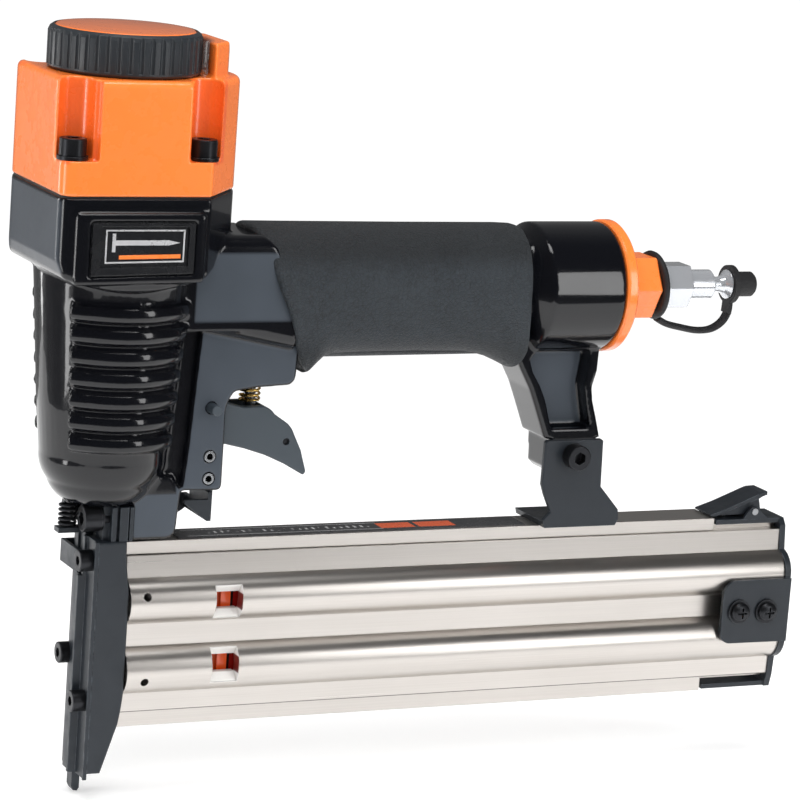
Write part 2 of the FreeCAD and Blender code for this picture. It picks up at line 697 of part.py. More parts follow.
deflector = body("deflector_disc")
spin(deflector, [(0, 245.2), (8.4, 245.2), (8.4, 241.9), (22.2, 241.9), (22.2, 246.2),
                 (21.6, 246.7), (18.0, 246.9), (12.0, 247.1), (6.0, 247.2), (0, 247.25)])

deflector_screw = body("deflector_screw")
spin(deflector_screw, [(0, 222.5), (3.95, 222.5), (3.95, 242.0), (7.2, 242.0),
                       (7.2, 243.6), (5.6, 244.9), (0, 244.9)])
cut(deflector_screw, "XY", hexagon(4.0), 2.0, start=245.0)

# ---------------------------------------------------------------- handle
# Grip sleeve, trimmed to the neck in front and the rear cylinder behind.
grip = body("grip_sleeve")
pad(grip, "YZ", octagon(dim.grip_half, dim.grip_tall, dim.handle_z + 0.1,
                        corner=8.0, side=9.0), 106.0, start=42.0)
soften(grip, 6.0, long_in_x)
grip_front_trim = [
    (30, 195), (43.6, 195), (44.0, 187.7), (51.0, 178.7), (55.4, 165.7),
    (58.9, 153.0), (62.0, 147.4), (62.4, 140.1), (62.6, 130), (30, 130)]
grip_rear_trim = [
    (160, 195), (141.95, 195), (141.95, 184), (141.6, 164), (140.2, 143.5),
    (140.2, 130), (160, 130)]
cut(grip, "XZ", grip_front_trim)
cut(grip, "XZ", grip_rear_trim)
cut(grip, "YZ", core_section(0.15))

# End cap: a sleeve in the casting, a flange and a hexagon.
end_cap = body("end_cap")
flange = dim.cap_flange_rad
spin(end_cap, [(6.5, 3.0), (11.0, 3.0), (11.0, -14.0), (16.9, -14.0), (16.9, -7.0),
               (15.6, -7.0), (15.6, -4.6), (16.9, -4.6), (16.9, 0.05),
               (flange - 0.6, 0.05), (flange, 0.7), (flange, 3.4), (flange - 0.7, 4.1),
               (11.0, 4.1), (6.5, 4.1)])
pad(end_cap, "XY", hexagon(dim.hex_orange), 15.4, start=4.0, holes=[(0, 0, 6.5)])
soften(end_cap, 0.9, lambda box, mid: box.ZMin > 19.3 and mid.Length > 1, "Chamfer")
place(end_cap, dim.rear_end, 0, dim.handle_z, TO_REAR)
keep(torus("end_cap_oring", 16.28, 0.68, dim.rear_end - 5.8, 0, dim.handle_z, TO_REAR))

plug = body("air_plug")
plug_profile = [
    (1.4, 0), (6.5, 0), (6.5, 15.2), (dim.collar_rad, 15.2), (dim.collar_rad, 35.0),
    (4.4, 35.6), (3.0, 36.0), (2.6, 36.8), (2.6, 38.8), (3.2, 40.4), (5.0, 42.0),
    (5.0, 42.4), (2.2, 42.4), (2.2, 47.6), (1.9, 48.0), (1.4, 48.0)]
spin(plug, plug_profile)
pad(plug, "XY", hexagon(dim.hex_plug), 10.0, start=15.2, holes=[(0, 0, 1.4)])
soften(plug, 0.6,
       lambda box, mid: box.ZMax < 15.3 and box.ZMin > 15.1 and mid.Length > 7.5, "Chamfer")
place(plug, 183.0, 0, dim.handle_z, TO_REAR)

# Tether: a ring round the plug and a strap that reaches back and out.
tether = body("dust_tether")
spin(tether, rect(6.6, 11.5, 0.3, 3.3))
strap_outline = [
    (10.8, 2.6), (12.3, 5.3), (13.8, 12.9), (16.7, 22.2), (16.2, 26.5),
    (14.6, 25.6), (15.1, 22.2), (12.2, 13.4), (10.9, 7.0), (9.5, 2.6)]
pad(tether, "XZ", strap_outline, 4.6)
place(tether, 194.4, 0, dim.handle_z, TO_REAR)

dust_cap = body("dust_cap")
spin(dust_cap, [(3.5, 0), (6.6, 0), (6.6, 1.8), (4.3, 2.4), (4.3, 9.0), (3.6, 9.8),
                (0, 9.8), (0, 7.4), (3.5, 7.4)])
pad(dust_cap, "XZ", [(6.3, 0.0), (9.8, -0.2), (10.2, 1.4), (6.3, 1.7)], 4.4)
place(dust_cap, 225.6, 0, dim.handle_z, TO_REAR)

# ---------------------------------------------------------------- trigger group
# Valve seat with two O-ring grooves.
seat = body("valve_seat")
seat_rad = dim.valve_bore
spin(seat, [(2.06, 0), (seat_rad, 0), (seat_rad, 4.0), (4.6, 4.0), (4.6, 5.8),
            (seat_rad, 5.8), (seat_rad, 11.0), (4.6, 11.0), (4.6, 12.8),
            (seat_rad, 12.8), (seat_rad, 16.0), (2.06, 16.0)])
place(seat, dim.valve_x, 0, 133.4)
compound("valve_orings", [torus("seat_oring_low", 5.02, 0.42, dim.valve_x, 0, 138.3),
                          torus("seat_oring_high", 5.02, 0.42, dim.valve_x, 0, 145.3)])

stem = body("valve_stem")
spin(stem, [(0, 0), (1.5, 0), (dim.stem_rad, 0.6), (dim.stem_rad, 27.0), (3.6, 27.0),
            (3.6, 29.0), (0, 29.0)])
place(stem, dim.valve_x, 0, 124.2)
tube("valve_spring", 3.0, 3.9, 6.0, dim.valve_x, 0, 153.6)
tube("trigger_spring", 2.7, 3.6, 7.6, dim.valve_x, 0, 125.6)

# Trigger, hollowed from above between its two flanks.
trigger = body("trigger")
trigger_outline = [
    (28.8, 122.0), (28.6, 127.0, 0.5), (31.0, 130.0, 0.3), (34.5, 129.6), (40.4, 126.6),
    (45.4, 125.3), (52.4, 125.4, 0.5), (56.7, 122.6), (60.8, 119.9, 0.4), (64.0, 115.9),
    (66.8, 110.4), (68.9, 103.6, 0.4), (67.9, 102.1), (60.9, 106.0), (54.2, 109.0),
    (46.8, 111.4), (40.6, 112.9), (32.6, 114.6), (29.4, 117.6)]
trigger_hollow = [
    (30.5, 133.0), (30.0, 121.0), (33.0, 117.6), (41.0, 116.2), (50.0, 113.8),
    (58.6, 110.4), (62.4, 110.6), (59.2, 116.4), (54.8, 119.4), (50.0, 123.1),
    (54.6, 123.1), (54.6, 133.0)]
pad(trigger, "XZ", trigger_outline, 13.4)
soften(trigger, 0.8, flat_in_y)
cut(trigger, "XZ", trigger_hollow, 8.6)
bore(trigger, "XZ", [(dim.pivot_x, dim.pivot_z, dim.pin_rad + 0.05),
                     LEVER_PIN + (SMALL_PIN_RAD,)])

lever = body("trigger_lever")
lever_outline = [
    (38.0, 118.4), (48.0, 117.2), (57.4, 112.6), (59.6, 112.0),
    (59.6, 114.2), (53.0, 118.6), (47.0, 121.4), (38.4, 121.4)]
pad(lever, "XZ", lever_outline, 6.0)
soften(lever, 0.5, lambda box, mid: box.YLength > 5)
keep(cylinder("lever_pin", SMALL_PIN_RAD, 11.6, LEVER_PIN[0], 5.8, LEVER_PIN[1], TO_NEAR))

trigger_pin = body("trigger_pin")
disc(trigger_pin, dim.pin_rad, 31.0)
soften(trigger_pin, 0.4, lambda box, mid: True)
place(trigger_pin, dim.pivot_x, 13.8, dim.pivot_z, TO_NEAR)

roll_pin = helper_body("roll_pin_base")
disc(roll_pin, ROLL_RAD, 24.4, hole=1.05)
group("roll_pins", roll_pin, [(x, 12.2, z) for x, z in ROLL_PINS], TO_NEAR)

# ---------------------------------------------------------------- nose
# Clamp in front of the casting foot.
clamp = body("nose_clamp")
clamp_outline = [
    (CLAMP_FRONT, -9.8), (0.2, -9.8), (0.2, -12.2), (1.8, -12.2), (1.8, -10.6),
    (2.8, -10.6), (2.8, -12.6), (5.6, -12.6), (5.6, -11.4), (6.2, -11.4), (6.2, -12.6),
    (dim.foot_front, -12.6), (dim.foot_front, 12.6), (CLAMP_FRONT, 12.6)]
pad(clamp, "XY", clamp_outline, 11.1, start=dim.nose_top + 0.05)
bore(clamp, "XY", [(0, 0, 4.2)])
bore(clamp, "YZ", [(y, z, dim.screw_rad + 0.1) for y, z in NOSE_BOLTS])

# Driver guide, slotted for the blade, the contact foot and the nails.
guide = body("driver_guide")
guide_outline = [
    (-3.9, 6.4), (0.7, 6.4), (5.9, 22.6, -0.2), (7.3, 34.0), (7.3, 66.0), (5.8, 77.0),
    (5.6, dim.nose_top), (-3.9, dim.nose_top)]
pad(guide, "XZ", guide_outline, dim.nose_half * 2)
soften(guide, 0.8, lambda box, mid: box.YLength < 0.1 and box.ZLength < 70)
slot_x, slot_y = dim.blade_thick / 2 + 0.06, dim.blade_wide / 2 + 0.08
cut(guide, "XY", rect(-slot_x, slot_x, -slot_y, slot_y))
cut(guide, "XY", rect(-3.95, -2.1, -2.3, 2.3))
cut(guide, "XZ", rect(0.3, 9, 20.0, 72.0), dim.gap_half * 2)
bore(guide, "YZ", [(y, z, dim.small_rad) for y, z in NOSE_SCREWS], 9.2, start=-4.0,
     rev=True)
cut(guide, "XY", rect(-10, 20, 8.8, 16))

# Nose plate over the front of the guide.
plate = body("nose_plate")
plate_outline = [
    (-3.95, 8.6), (-4.5, 8.6), (-4.5, 5.2), (-5.9, 4.4), (-6.0, 3.2), (-6.0, -1.6),
    (-7.0, -2.0), (-7.0, -3.3), (-6.0, -3.7), (-4.6, -4.2), (-4.6, -11.7),
    (-5.2, -12.2), (-5.2, -13.0), (-3.95, -13.0)]
pad(plate, "XY", plate_outline, 79.0, start=4.6)
cut(plate, "XY", rect(-5.05, 0, -2.25, 2.25))
cut(plate, "XZ", rect(-20, -5.6, 70.6, 90))
cut(plate, "XZ", rect(-20, -4.9, 70.6, 90), 4.5)
bore(plate, "YZ", [(y, z, dim.small_rad + 0.1) for y, z in NOSE_SCREWS])
bore(plate, "YZ", [NOSE_SCREWS[2] + (dim.small_head + 0.15,)], 6.0, start=-4.5)
group("nose_screws", nose_screw,
      [(x, y, z) for x, (y, z) in zip((-4.6, -4.6, -4.5), NOSE_SCREWS)], TO_FRONT)

nose_bolt = socket_screw(helper_body("screw_mount"), 5.8, 19.0)
group("nose_bolts", nose_bolt,
      [(CLAMP_FRONT - NOSE_WASHER, y, z) for y, z in NOSE_BOLTS], TO_FRONT)
nose_washer = helper_body("nose_washer")
disc(nose_washer, 4.0, NOSE_WASHER, hole=dim.screw_rad + 0.1)
group("nose_washers", nose_washer, [(CLAMP_FRONT, y, z) for y, z in NOSE_BOLTS], TO_FRONT)

# ---------------------------------------------------------------- contact trip
# Foot: an upright strip with a ledge to the front near its top.
contact_foot = body("contact_foot")
contact_foot_outline = [
    (-4.9, -0.8), (-4.2, -2.2), (-2.9, -2.4), (-2.2, -1.4), (-2.2, 87.0),
    (-4.9, 87.0), (-4.9, 86.0), (-14.0, 86.0), (-14.0, 84.4), (-4.9, 84.4)]
pad(contact_foot, "XZ", contact_foot_outline, 4.4)

# Arm: across the front, back along the near side, across behind the cheeks.
arm = body("contact_arm")
arm_side = [
    (-6.9, 71.0), (6.0, 71.0), (34.0, 86.6), (35.9, 88.0), (35.9, 92.4),
    (31.0, 92.4), (8.0, 78.4), (-6.9, 78.4)]
arm_rear = [(-7.7, 88.0), (14.4, 88.0), (14.4, 92.4), (8.4, 92.4), (8.4, 97.6),
            (-7.7, 97.6)]
arm_tab = [(26.4, 95.1), (26.4, 94.1), (34.6, 88.0), (35.9, 88.0), (35.9, 97.6),
           (34.5, 97.6), (34.5, 95.1)]
pad(arm, "YZ", rect(-1.5, 14.4, 71.0, 78.4), 1.1, start=-6.9)
pad(arm, "YZ", rect(-1.5, 1.9, 72.0, 78.4), 1.0, start=-5.9)
pad(arm, "XZ", arm_side, 1.2, start=-14.4)
pad(arm, "YZ", arm_rear, 1.4, start=34.5)
pad(arm, "XZ", arm_tab, 1.4, start=6.3)
pad(arm, "XZ", [(34.5, 88.0), (37.9, 90.0), (37.9, 105.0), (34.5, 105.0)], 6.0)
tube("contact_spring", 2.2, 3.1, 8.3, -10.5, 0, 86.1)

# ---------------------------------------------------------------- magazine
def wall_inner(side):
    """Inner face of one half, top to bottom; side -1 slides, +1 is fixed."""
    gap = side * dim.gap_half
    return [(gap, 71.5), (side * 5.6, 68.6, side * 3.8), (side * 6.4, 56.8), (gap, 56.0),
            (gap, 46.8), (side * 6.4, 46.0, side * 3.8), (side * 5.6, 33.6), (gap, 30.6)]


def wall_outer(side):
    """Outer face of one half, bottom to top, with two rounded flutes."""
    sag = -side * dim.bulge
    return [(side * 8.2, 25.2), (side * 8.6, 31.6, sag), (side * 9.0, 47.5),
            (side * 9.0, 55.0, sag), (side * 8.6, 70.2), (side * 8.2, 77.5)]


# Fixed half section joined to the two rails that guide the sliding half.
rail = body("magazine_rail")
rail_section = (
    [(-7.0, 77.65), (-4.3, 77.65), (-4.3, 79.55), (-2.5, 79.55), (-2.5, 77.65),
     (dim.gap_half, 77.65)]
    + wall_inner(1)
    + [(dim.gap_half, 25.05), (-2.5, 25.05), (-2.5, 23.25), (-4.3, 23.25),
       (-4.3, 25.05), (-7.0, 25.05), (-7.0, dim.mag_low), (7.0, dim.mag_low)]
    + wall_outer(1)
    + [(7.0, dim.mag_top), (-7.0, dim.mag_top)])
pad(rail, "YZ", rail_section, dim.rail_end - dim.mag_front, start=dim.mag_front)

# Sliding half, with a tongue at bottom and top and two windows in its wall.
channel = body("magazine_channel")
channel_section = (
    [(-dim.gap_half, 77.5)]
    + wall_inner(-1)
    + [(-dim.gap_half, 25.2), (-2.6, 25.2), (-2.6, 23.4), (-4.2, 23.4), (-4.2, 25.2)]
    + wall_outer(-1)
    + [(-4.2, 77.5), (-4.2, 79.4), (-2.6, 79.4), (-2.6, 77.5)])
pad(channel, "YZ", channel_section, dim.slide_end - dim.mag_front, start=dim.mag_front)
for window_low in (56.4, 35.2):
    cut(channel, "XZ", rect(37.1, 46.4, window_low, window_low + 11.0), 14.0, start=20.0)
bore(channel, "XZ", [(13.2, 65.1, 1.35), (13.9, 36.6, 1.35)], 14.0, start=20.0)

label = body("rail_label")
pad(label, "XY", rect(26, 152, -5.6, 5.0), 0.3, start=dim.mag_top)

pusher = body("nail_pusher")
pad(pusher, "XZ", rect(30.0, 66.0, 31.0, 71.0), 1.5)
for block_low in (37.0, 58.2):
    pad(pusher, "XZ", rect(30.0, 41.8, block_low, block_low + 7.0), 9.6)

insert = helper_body("pusher_insert_base")
pad(insert, "XZ", rect(41.8, 60.0, 36.4, 44.6), 5.6, start=0.75)
group("pusher_inserts", insert, [(0, 0, 0), (0, 0, 21.2)])

pusher_spring = body("pusher_spring")
disc(pusher_spring, 2.4, 170.0, hole=1.7, plane="YZ", start=66.5, up=61.8)

# End plate: a flanged plate with a near-side tab and two lugs for the latch pin.
end_plate = body("end_plate")
end_outline = [
    (8.6, 24.6), (9.2, 31.6, -5.8), (9.5, 47.5), (9.5, 55.0, -5.8), (9.2, 70.4),
    (8.4, 78.8), (6.6, 81.2), (-6.6, 81.2), (-8.4, 78.8), (-9.2, 70.4, -5.8),
    (-9.5, 55.0), (-9.5, 47.5, -5.8), (-9.2, 31.6), (-8.6, 24.6), (-7.4, 20.2),
    (7.4, 20.2)]
tab_outline = [(230.3, 39.2), (253.0, 39.0), (253.0, 61.6), (231.2, 61.6, -1.2),
               (226.3, 57.0), (226.3, 43.2, -1.2)]
latch_lug = [(236.6, 81.0), (247.0, 81.0), (243.4, 83.8), (242.0, 85.3),
             (240.0, 85.3), (238.2, 83.6)]
tab_start, tab_thick = 14.62, 1.5
pad(end_plate, "YZ", end_outline, 2.2, start=dim.slide_end)
pad(end_plate, "XZ", tab_outline, tab_thick, start=tab_start)
for flange_low in (79.6, 20.4):
    pad(end_plate, "XY", rect(226.0, 251.5, -7.0, 7.0), 1.6, start=flange_low)
for lug_start in (6.0, -7.2):
    pad(end_plate, "XZ", latch_lug, 1.2, start=lug_start)
bore(end_plate, "XZ", [LATCH_PIN + (SMALL_PIN_RAD,)])
bore(end_plate, "XZ", [(x, z, 2.0) for x, z in END_SCREWS], 10.0, start=18.0)

# Cross-slotted pan screws and their washers on the tab.
pan_screw = helper_body("pan_screw")
spin(pan_screw, [(0, -3.0), (1.75, -3.0), (1.75, 0), (3.4, 0), (3.4, 0.9),
                 (2.6, 1.9, -0.2), (0, 2.3)])
cut(pan_screw, "XY", rect(-1.9, 1.9, -0.35, 0.35), 1.4, start=2.6)
cut(pan_screw, "XY", rect(-0.35, 0.35, -1.9, 1.9), 1.4, start=2.6)
pan_washer = helper_body("pan_washer")
pan_washer_thick = 0.8
disc(pan_washer, 4.3, pan_washer_thick, hole=2.0)
tab_face = -(tab_start + tab_thick)
group("end_washers", pan_washer, [(x, tab_face, z) for x, z in END_SCREWS], TO_NEAR)
group("end_screws", pan_screw,
      [(x, tab_face - pan_washer_thick, z) for x, z in END_SCREWS], TO_NEAR)

# Latch lever, its rear edge hollowed round in plan.
latch = body("latch_lever")
latch_top = [
    (224.4, 82.3), (226.4, 82.3), (244.6, 88.5), (246.6, 88.9), (248.3, 88.3),
    (248.6, 89.3), (246.6, 90.4), (244.0, 90.0), (231.0, 85.0), (224.4, 82.9)]
latch_under = [(226.6, 82.35), (243.0, 82.35), (244.4, 84.4), (243.6, 87.9),
               (242.0, 87.9)]
latch_trim = [
    (249.5, -7), (249.5, 7), (243.2, 7), (243.2, 5.7), (247.2, 4.2, 0.5),
    (248.8, 0), (247.2, -4.2), (243.2, -5.7), (243.2, -7)]
pad(latch, "XZ", latch_top, 11.4)
pad(latch, "XZ", latch_under, 9.6)
cut(latch, "XY", latch_trim)
bore(latch, "XZ", [LATCH_PIN + (SMALL_PIN_RAD,)])
keep(cylinder("latch_pin", SMALL_PIN_RAD, 15.0, LATCH_PIN[0], 7.5, LATCH_PIN[1], TO_NEAR))
tube("latch_spring", 1.2, 1.9, 0.95, 232.0, 0, 81.3)

# ---------------------------------------------------------------- tail bracket
bracket = body("tail_bracket")
bracket_in = dim.leg_half + 0.05
bracket_outline = [
    (156.7, dim.mag_top), (183.7, dim.mag_top), (185.0, 84.4), (184.6, 87.4),
    (177.2, 95.6), (176.7, 111.6), (175.8, 112.2), (155.4, 112.2), (154.6, 111.4),
    (154.5, 97.0), (155.8, 93.4), (158.6, 87.4), (156.0, 84.6)]
pad(bracket, "XZ", bracket_outline, bracket_in * 2 + 2 * dim.sheet_thick)
soften(bracket, 0.5, lambda box, mid: box.YLength < 0.1 and mid.z > 84)
# Clear the space for the leg, then the far side: only the near sheet stands.
above_base = rect(140, 200, 83.9, 120)
cut(bracket, "XZ", above_base, bracket_in * 2)
cut(bracket, "XZ", above_base, 14.0, start=0)
bore(bracket, "XZ", [LEG_BOLT + (dim.screw_rad + 0.1,)])

bracket_bolt = socket_screw(body("bracket_bolt"), 5.0, 26.0)
place(bracket_bolt, LEG_BOLT[0], -(bracket_in + dim.sheet_thick), LEG_BOLT[1], TO_NEAR)
nut = body("bracket_nut")
nut_tall = 4.0
pad(nut, "XY", hexagon(8.0), nut_tall, start=0, holes=[(0, 0, dim.screw_rad)])
place(nut, LEG_BOLT[0], bracket_in + nut_tall, LEG_BOLT[1], TO_NEAR)

# ---------------------------------------------------------------- write
doc.recompute()
bad = []
for obj in doc.Objects:
    if "Invalid" in obj.State or "Error" in obj.State:
        bad.append(obj.Name + " " + str(obj.State))
for obj in written:
    if obj.Shape.isNull() or not obj.Shape.isValid() or not obj.Shape.Solids:
        bad.append(obj.Label + " shape")
if bad:
    raise RuntimeError("; ".join(bad))
for obj in written:
    obj.Shape.exportStep("parts/%s.step" % obj.Label)
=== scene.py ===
"""Pneumatic nailer: detailed meshes, materials and studio over its CAD pieces.

The driver axis is the Z axis, with the nose at the bottom and the orange cap on top. The
grip and the magazine run toward +X. The badge is on the -Y flank, which faces the camera.
"""
import bpy
import bmesh
import math
import numpy as np
from functools import reduce
from mathutils import Matrix, Vector


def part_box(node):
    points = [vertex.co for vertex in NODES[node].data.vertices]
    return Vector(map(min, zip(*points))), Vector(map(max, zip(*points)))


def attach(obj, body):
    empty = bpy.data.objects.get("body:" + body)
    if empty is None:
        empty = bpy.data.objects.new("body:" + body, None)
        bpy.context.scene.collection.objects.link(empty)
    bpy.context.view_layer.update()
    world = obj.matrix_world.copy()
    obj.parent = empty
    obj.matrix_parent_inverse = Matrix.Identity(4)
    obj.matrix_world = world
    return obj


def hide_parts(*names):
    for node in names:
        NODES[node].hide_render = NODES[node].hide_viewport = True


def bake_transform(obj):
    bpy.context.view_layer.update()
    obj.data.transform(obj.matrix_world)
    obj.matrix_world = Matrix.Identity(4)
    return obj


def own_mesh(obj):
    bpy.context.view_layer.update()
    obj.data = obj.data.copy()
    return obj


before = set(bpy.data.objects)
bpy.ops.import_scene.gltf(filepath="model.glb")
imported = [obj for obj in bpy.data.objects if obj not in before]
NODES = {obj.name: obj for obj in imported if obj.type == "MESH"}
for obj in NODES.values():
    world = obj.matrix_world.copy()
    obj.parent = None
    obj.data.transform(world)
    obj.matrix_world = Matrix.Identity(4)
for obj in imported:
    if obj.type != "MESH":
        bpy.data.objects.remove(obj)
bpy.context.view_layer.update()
MM = 0.001
scene = bpy.context.scene
collection = scene.collection


# ------------------------------------------------------------------ shader tools
def rgb(*channels):
    """sRGB 0-255 to linear, with full alpha."""
    parts = [c / 255.0 for c in channels]
    linear = [c / 12.92 if c <= 0.04045 else ((c + 0.055) / 1.055) ** 2.4 for c in parts]
    return tuple(linear) + (1.0,)


class Graph:
    """Shorthand for building one node tree."""

    def __init__(self, owner):
        owner.use_nodes = True
        self.tree = owner.node_tree
        self.tree.nodes.clear()

    def node(self, kind, **settings):
        node = self.tree.nodes.new(kind)
        for key, value in settings.items():
            setattr(node, key, value)
        return node

    def put(self, socket, value):
        """Link a socket, or store a plain value."""
        if isinstance(value, bpy.types.NodeSocket):
            self.tree.links.new(value, socket)
        else:
            socket.default_value = value

    def separate(self, vector):
        node = self.node("ShaderNodeSeparateXYZ")
        self.put(node.inputs[0], vector)
        return node.outputs

    def remap(self, value, span, to=(0.0, 1.0)):
        """Value over span, clamped and mapped onto to."""
        node = self.node("ShaderNodeMapRange", clamp=True)
        self.put(node.inputs["Value"], value)
        for key, number in zip(("From Min", "From Max", "To Min", "To Max"), (*span, *to)):
            self.put(node.inputs[key], number)
        return node.outputs[0]


class Shader(Graph):
    """A material with one Principled node, textured in object coordinates (metres)."""

    def __init__(self, name):
        self.material = bpy.data.materials.new(name)
        super().__init__(self.material)
        output = self.node("ShaderNodeOutputMaterial")
        self.bsdf = self.node("ShaderNodeBsdfPrincipled")
        self.put(output.inputs[0], self.bsdf.outputs[0])
        self.coords = self.node("ShaderNodeTexCoord").outputs["Object"]

    def set(self, key, value):
        self.put(self.bsdf.inputs[key], value)

    def current(self, key):
        return self.bsdf.inputs[key].links[0].from_socket

    def overlay(self, mask, color):
        """Lay a colour over the present base colour."""
        self.set("Base Color", self.mix(mask, self.current("Base Color"), color))

    def math(self, operation, a, b=0.5, clamp=False):
        node = self.node("ShaderNodeMath", operation=operation, use_clamp=clamp)
        for socket, value in zip(node.inputs, (a, b, 0.0)):
            self.put(socket, value)
        return node.outputs[0]

    def times(self, *factors):
        return reduce(lambda a, b: self.math("MULTIPLY", a, b), factors)

    def plus(self, a, b, clamp=False):
        return self.math("ADD", a, b, clamp)

    def larger(self, a, b):
        return self.math("MAXIMUM", a, b)

    def mapped(self, scale=(1, 1, 1), turn=(0, 0, 0)):
        node = self.node("ShaderNodeMapping")
        node.inputs["Scale"].default_value = scale
        node.inputs["Rotation"].default_value = turn
        self.put(node.inputs["Vector"], self.coords)
        return node.outputs[0]

    def noise(self, scale, detail=3.0, rough=0.5, vector=None, distortion=0.0):
        node = self.node("ShaderNodeTexNoise")
        node.inputs["Scale"].default_value = scale
        node.inputs["Detail"].default_value = detail
        node.inputs["Roughness"].default_value = rough
        node.inputs["Distortion"].default_value = distortion
        self.put(node.inputs["Vector"], vector or self.coords)
        return node.outputs["Fac"]

    def cells(self, scale, turn):
        """Distance to the nearest cell edge."""
        node = self.node("ShaderNodeTexVoronoi", feature="DISTANCE_TO_EDGE")
        node.inputs["Scale"].default_value = scale
        self.put(node.inputs["Vector"], self.mapped(turn=turn))
        return node.outputs["Distance"]

    def mix(self, amount, base, over):
        node = self.node("ShaderNodeMix", data_type="RGBA")
        for index, value in ((0, amount), (6, base), (7, over)):
            self.put(node.inputs[index], value)
        return node.outputs[2]

    def band(self, value, span, soft=0.0001):
        """1 inside the span, fading over soft on each side of its limits."""
        low, high = span
        rise = self.remap(value, (low - soft, low + soft))
        fall = self.remap(value, (high - soft, high + soft), to=(1.0, 0.0))
        return self.times(rise, fall)

    def bevel(self, radius):
        node = self.node("ShaderNodeBevel", samples=4)
        node.inputs["Radius"].default_value = radius
        return node.outputs[0]

    def normal(self):
        return self.node("ShaderNodeNewGeometry").outputs["Normal"]

    def edge(self, radius):
        """0 on flats, up to 1 where the surface turns sharply."""
        node = self.node("ShaderNodeVectorMath", operation="DOT_PRODUCT")
        self.put(node.inputs[0], self.bevel(radius))
        self.put(node.inputs[1], self.normal())
        return self.remap(node.outputs["Value"], span=(0.995, 0.80))

    def bump(self, height, strength, distance, normal=None):
        node = self.node("ShaderNodeBump")
        node.inputs["Strength"].default_value = strength
        node.inputs["Distance"].default_value = distance
        self.put(node.inputs["Height"], height)
        if normal is not None:
            self.put(node.inputs["Normal"], normal)
        self.set("Normal", node.outputs[0])


def surface(name, color, rough, metal=0.0, coat=0.0, coat_rough=0.04, spec=0.5, vary=0.25,
            vary_scale=30, rough_vary=0.1, grain=900, grain_amount=0.05, grain_depth=0.0001,
            bevel=0.00035, wear=None, wear_amount=0.6, stretch=None):
    """General finish.

    vary is the share of darker clouds, rough_vary the spread of roughness, grain the scale
    of the fine bump, bevel the rounding radius, wear the colour of rubbed edges and
    stretch the texture scale along each axis.
    """
    shader = Shader(name)
    vector = shader.mapped(scale=stretch) if stretch else None
    dark = tuple(c * 0.72 for c in color[:3]) + (1.0,)
    clouds = shader.noise(scale=vary_scale, detail=4.0, rough=0.55, vector=vector)
    tint = shader.mix(shader.remap(clouds, span=(0.35, 0.7), to=(0.0, vary)), color, dark)
    smudges = shader.noise(scale=160, rough=0.6, vector=vector)
    rough_span = (rough - rough_vary / 2, rough + rough_vary / 2)
    roughness = shader.remap(smudges, span=(0.3, 0.7), to=rough_span)
    normal = shader.bevel(bevel) if bevel else None
    if wear is not None:
        edge = shader.edge(radius=max(bevel, 0.0003) * 1.2)
        patches = shader.remap(shader.noise(scale=260, detail=5.0, rough=0.7), span=(0.42, 0.6))
        worn = shader.math("MULTIPLY", shader.times(edge, patches), wear_amount, clamp=True)
        tint = shader.mix(worn, tint, wear)
        worn_rough = 0.12
        roughness = shader.plus(roughness, shader.times(worn, worn_rough), clamp=True)
    shader.set("Base Color", tint)
    shader.set("Roughness", roughness)
    shader.set("Metallic", metal)
    shader.set("IOR", 1.5)
    shader.set("Specular IOR Level", spec)
    shader.set("Coat Weight", coat)
    shader.set("Coat Roughness", coat_rough)
    height = shader.noise(scale=grain, detail=2.0, vector=vector)
    shader.bump(height, strength=grain_amount, distance=grain_depth, normal=normal)
    if coat and normal is not None:
        shader.set("Coat Normal", normal)
    return shader


# ------------------------------------------------------------------ materials
# Satin patches of the casting: spans in X, Z and |Y|, then the fades in X and Z.
SATIN_PATCHES = [
    ((0.0215, 0.0630), (0.0975, 0.1540), (0.0100, 0.0135), 0.0004, 0.0006),
    ((0.0065, 0.0245), (0.083, 0.0985), (0.0100, 0.0135), 0.0003, 0.0004),
    ((0.0225, 0.0600), (0.1555, 0.1775), (0.0155, 0.0172), 0.0004, 0.0006),
    ((0.1460, 0.1715), (0.1165, 0.1425), (0.0020, 0.0050), 0.0004, 0.0006),
]


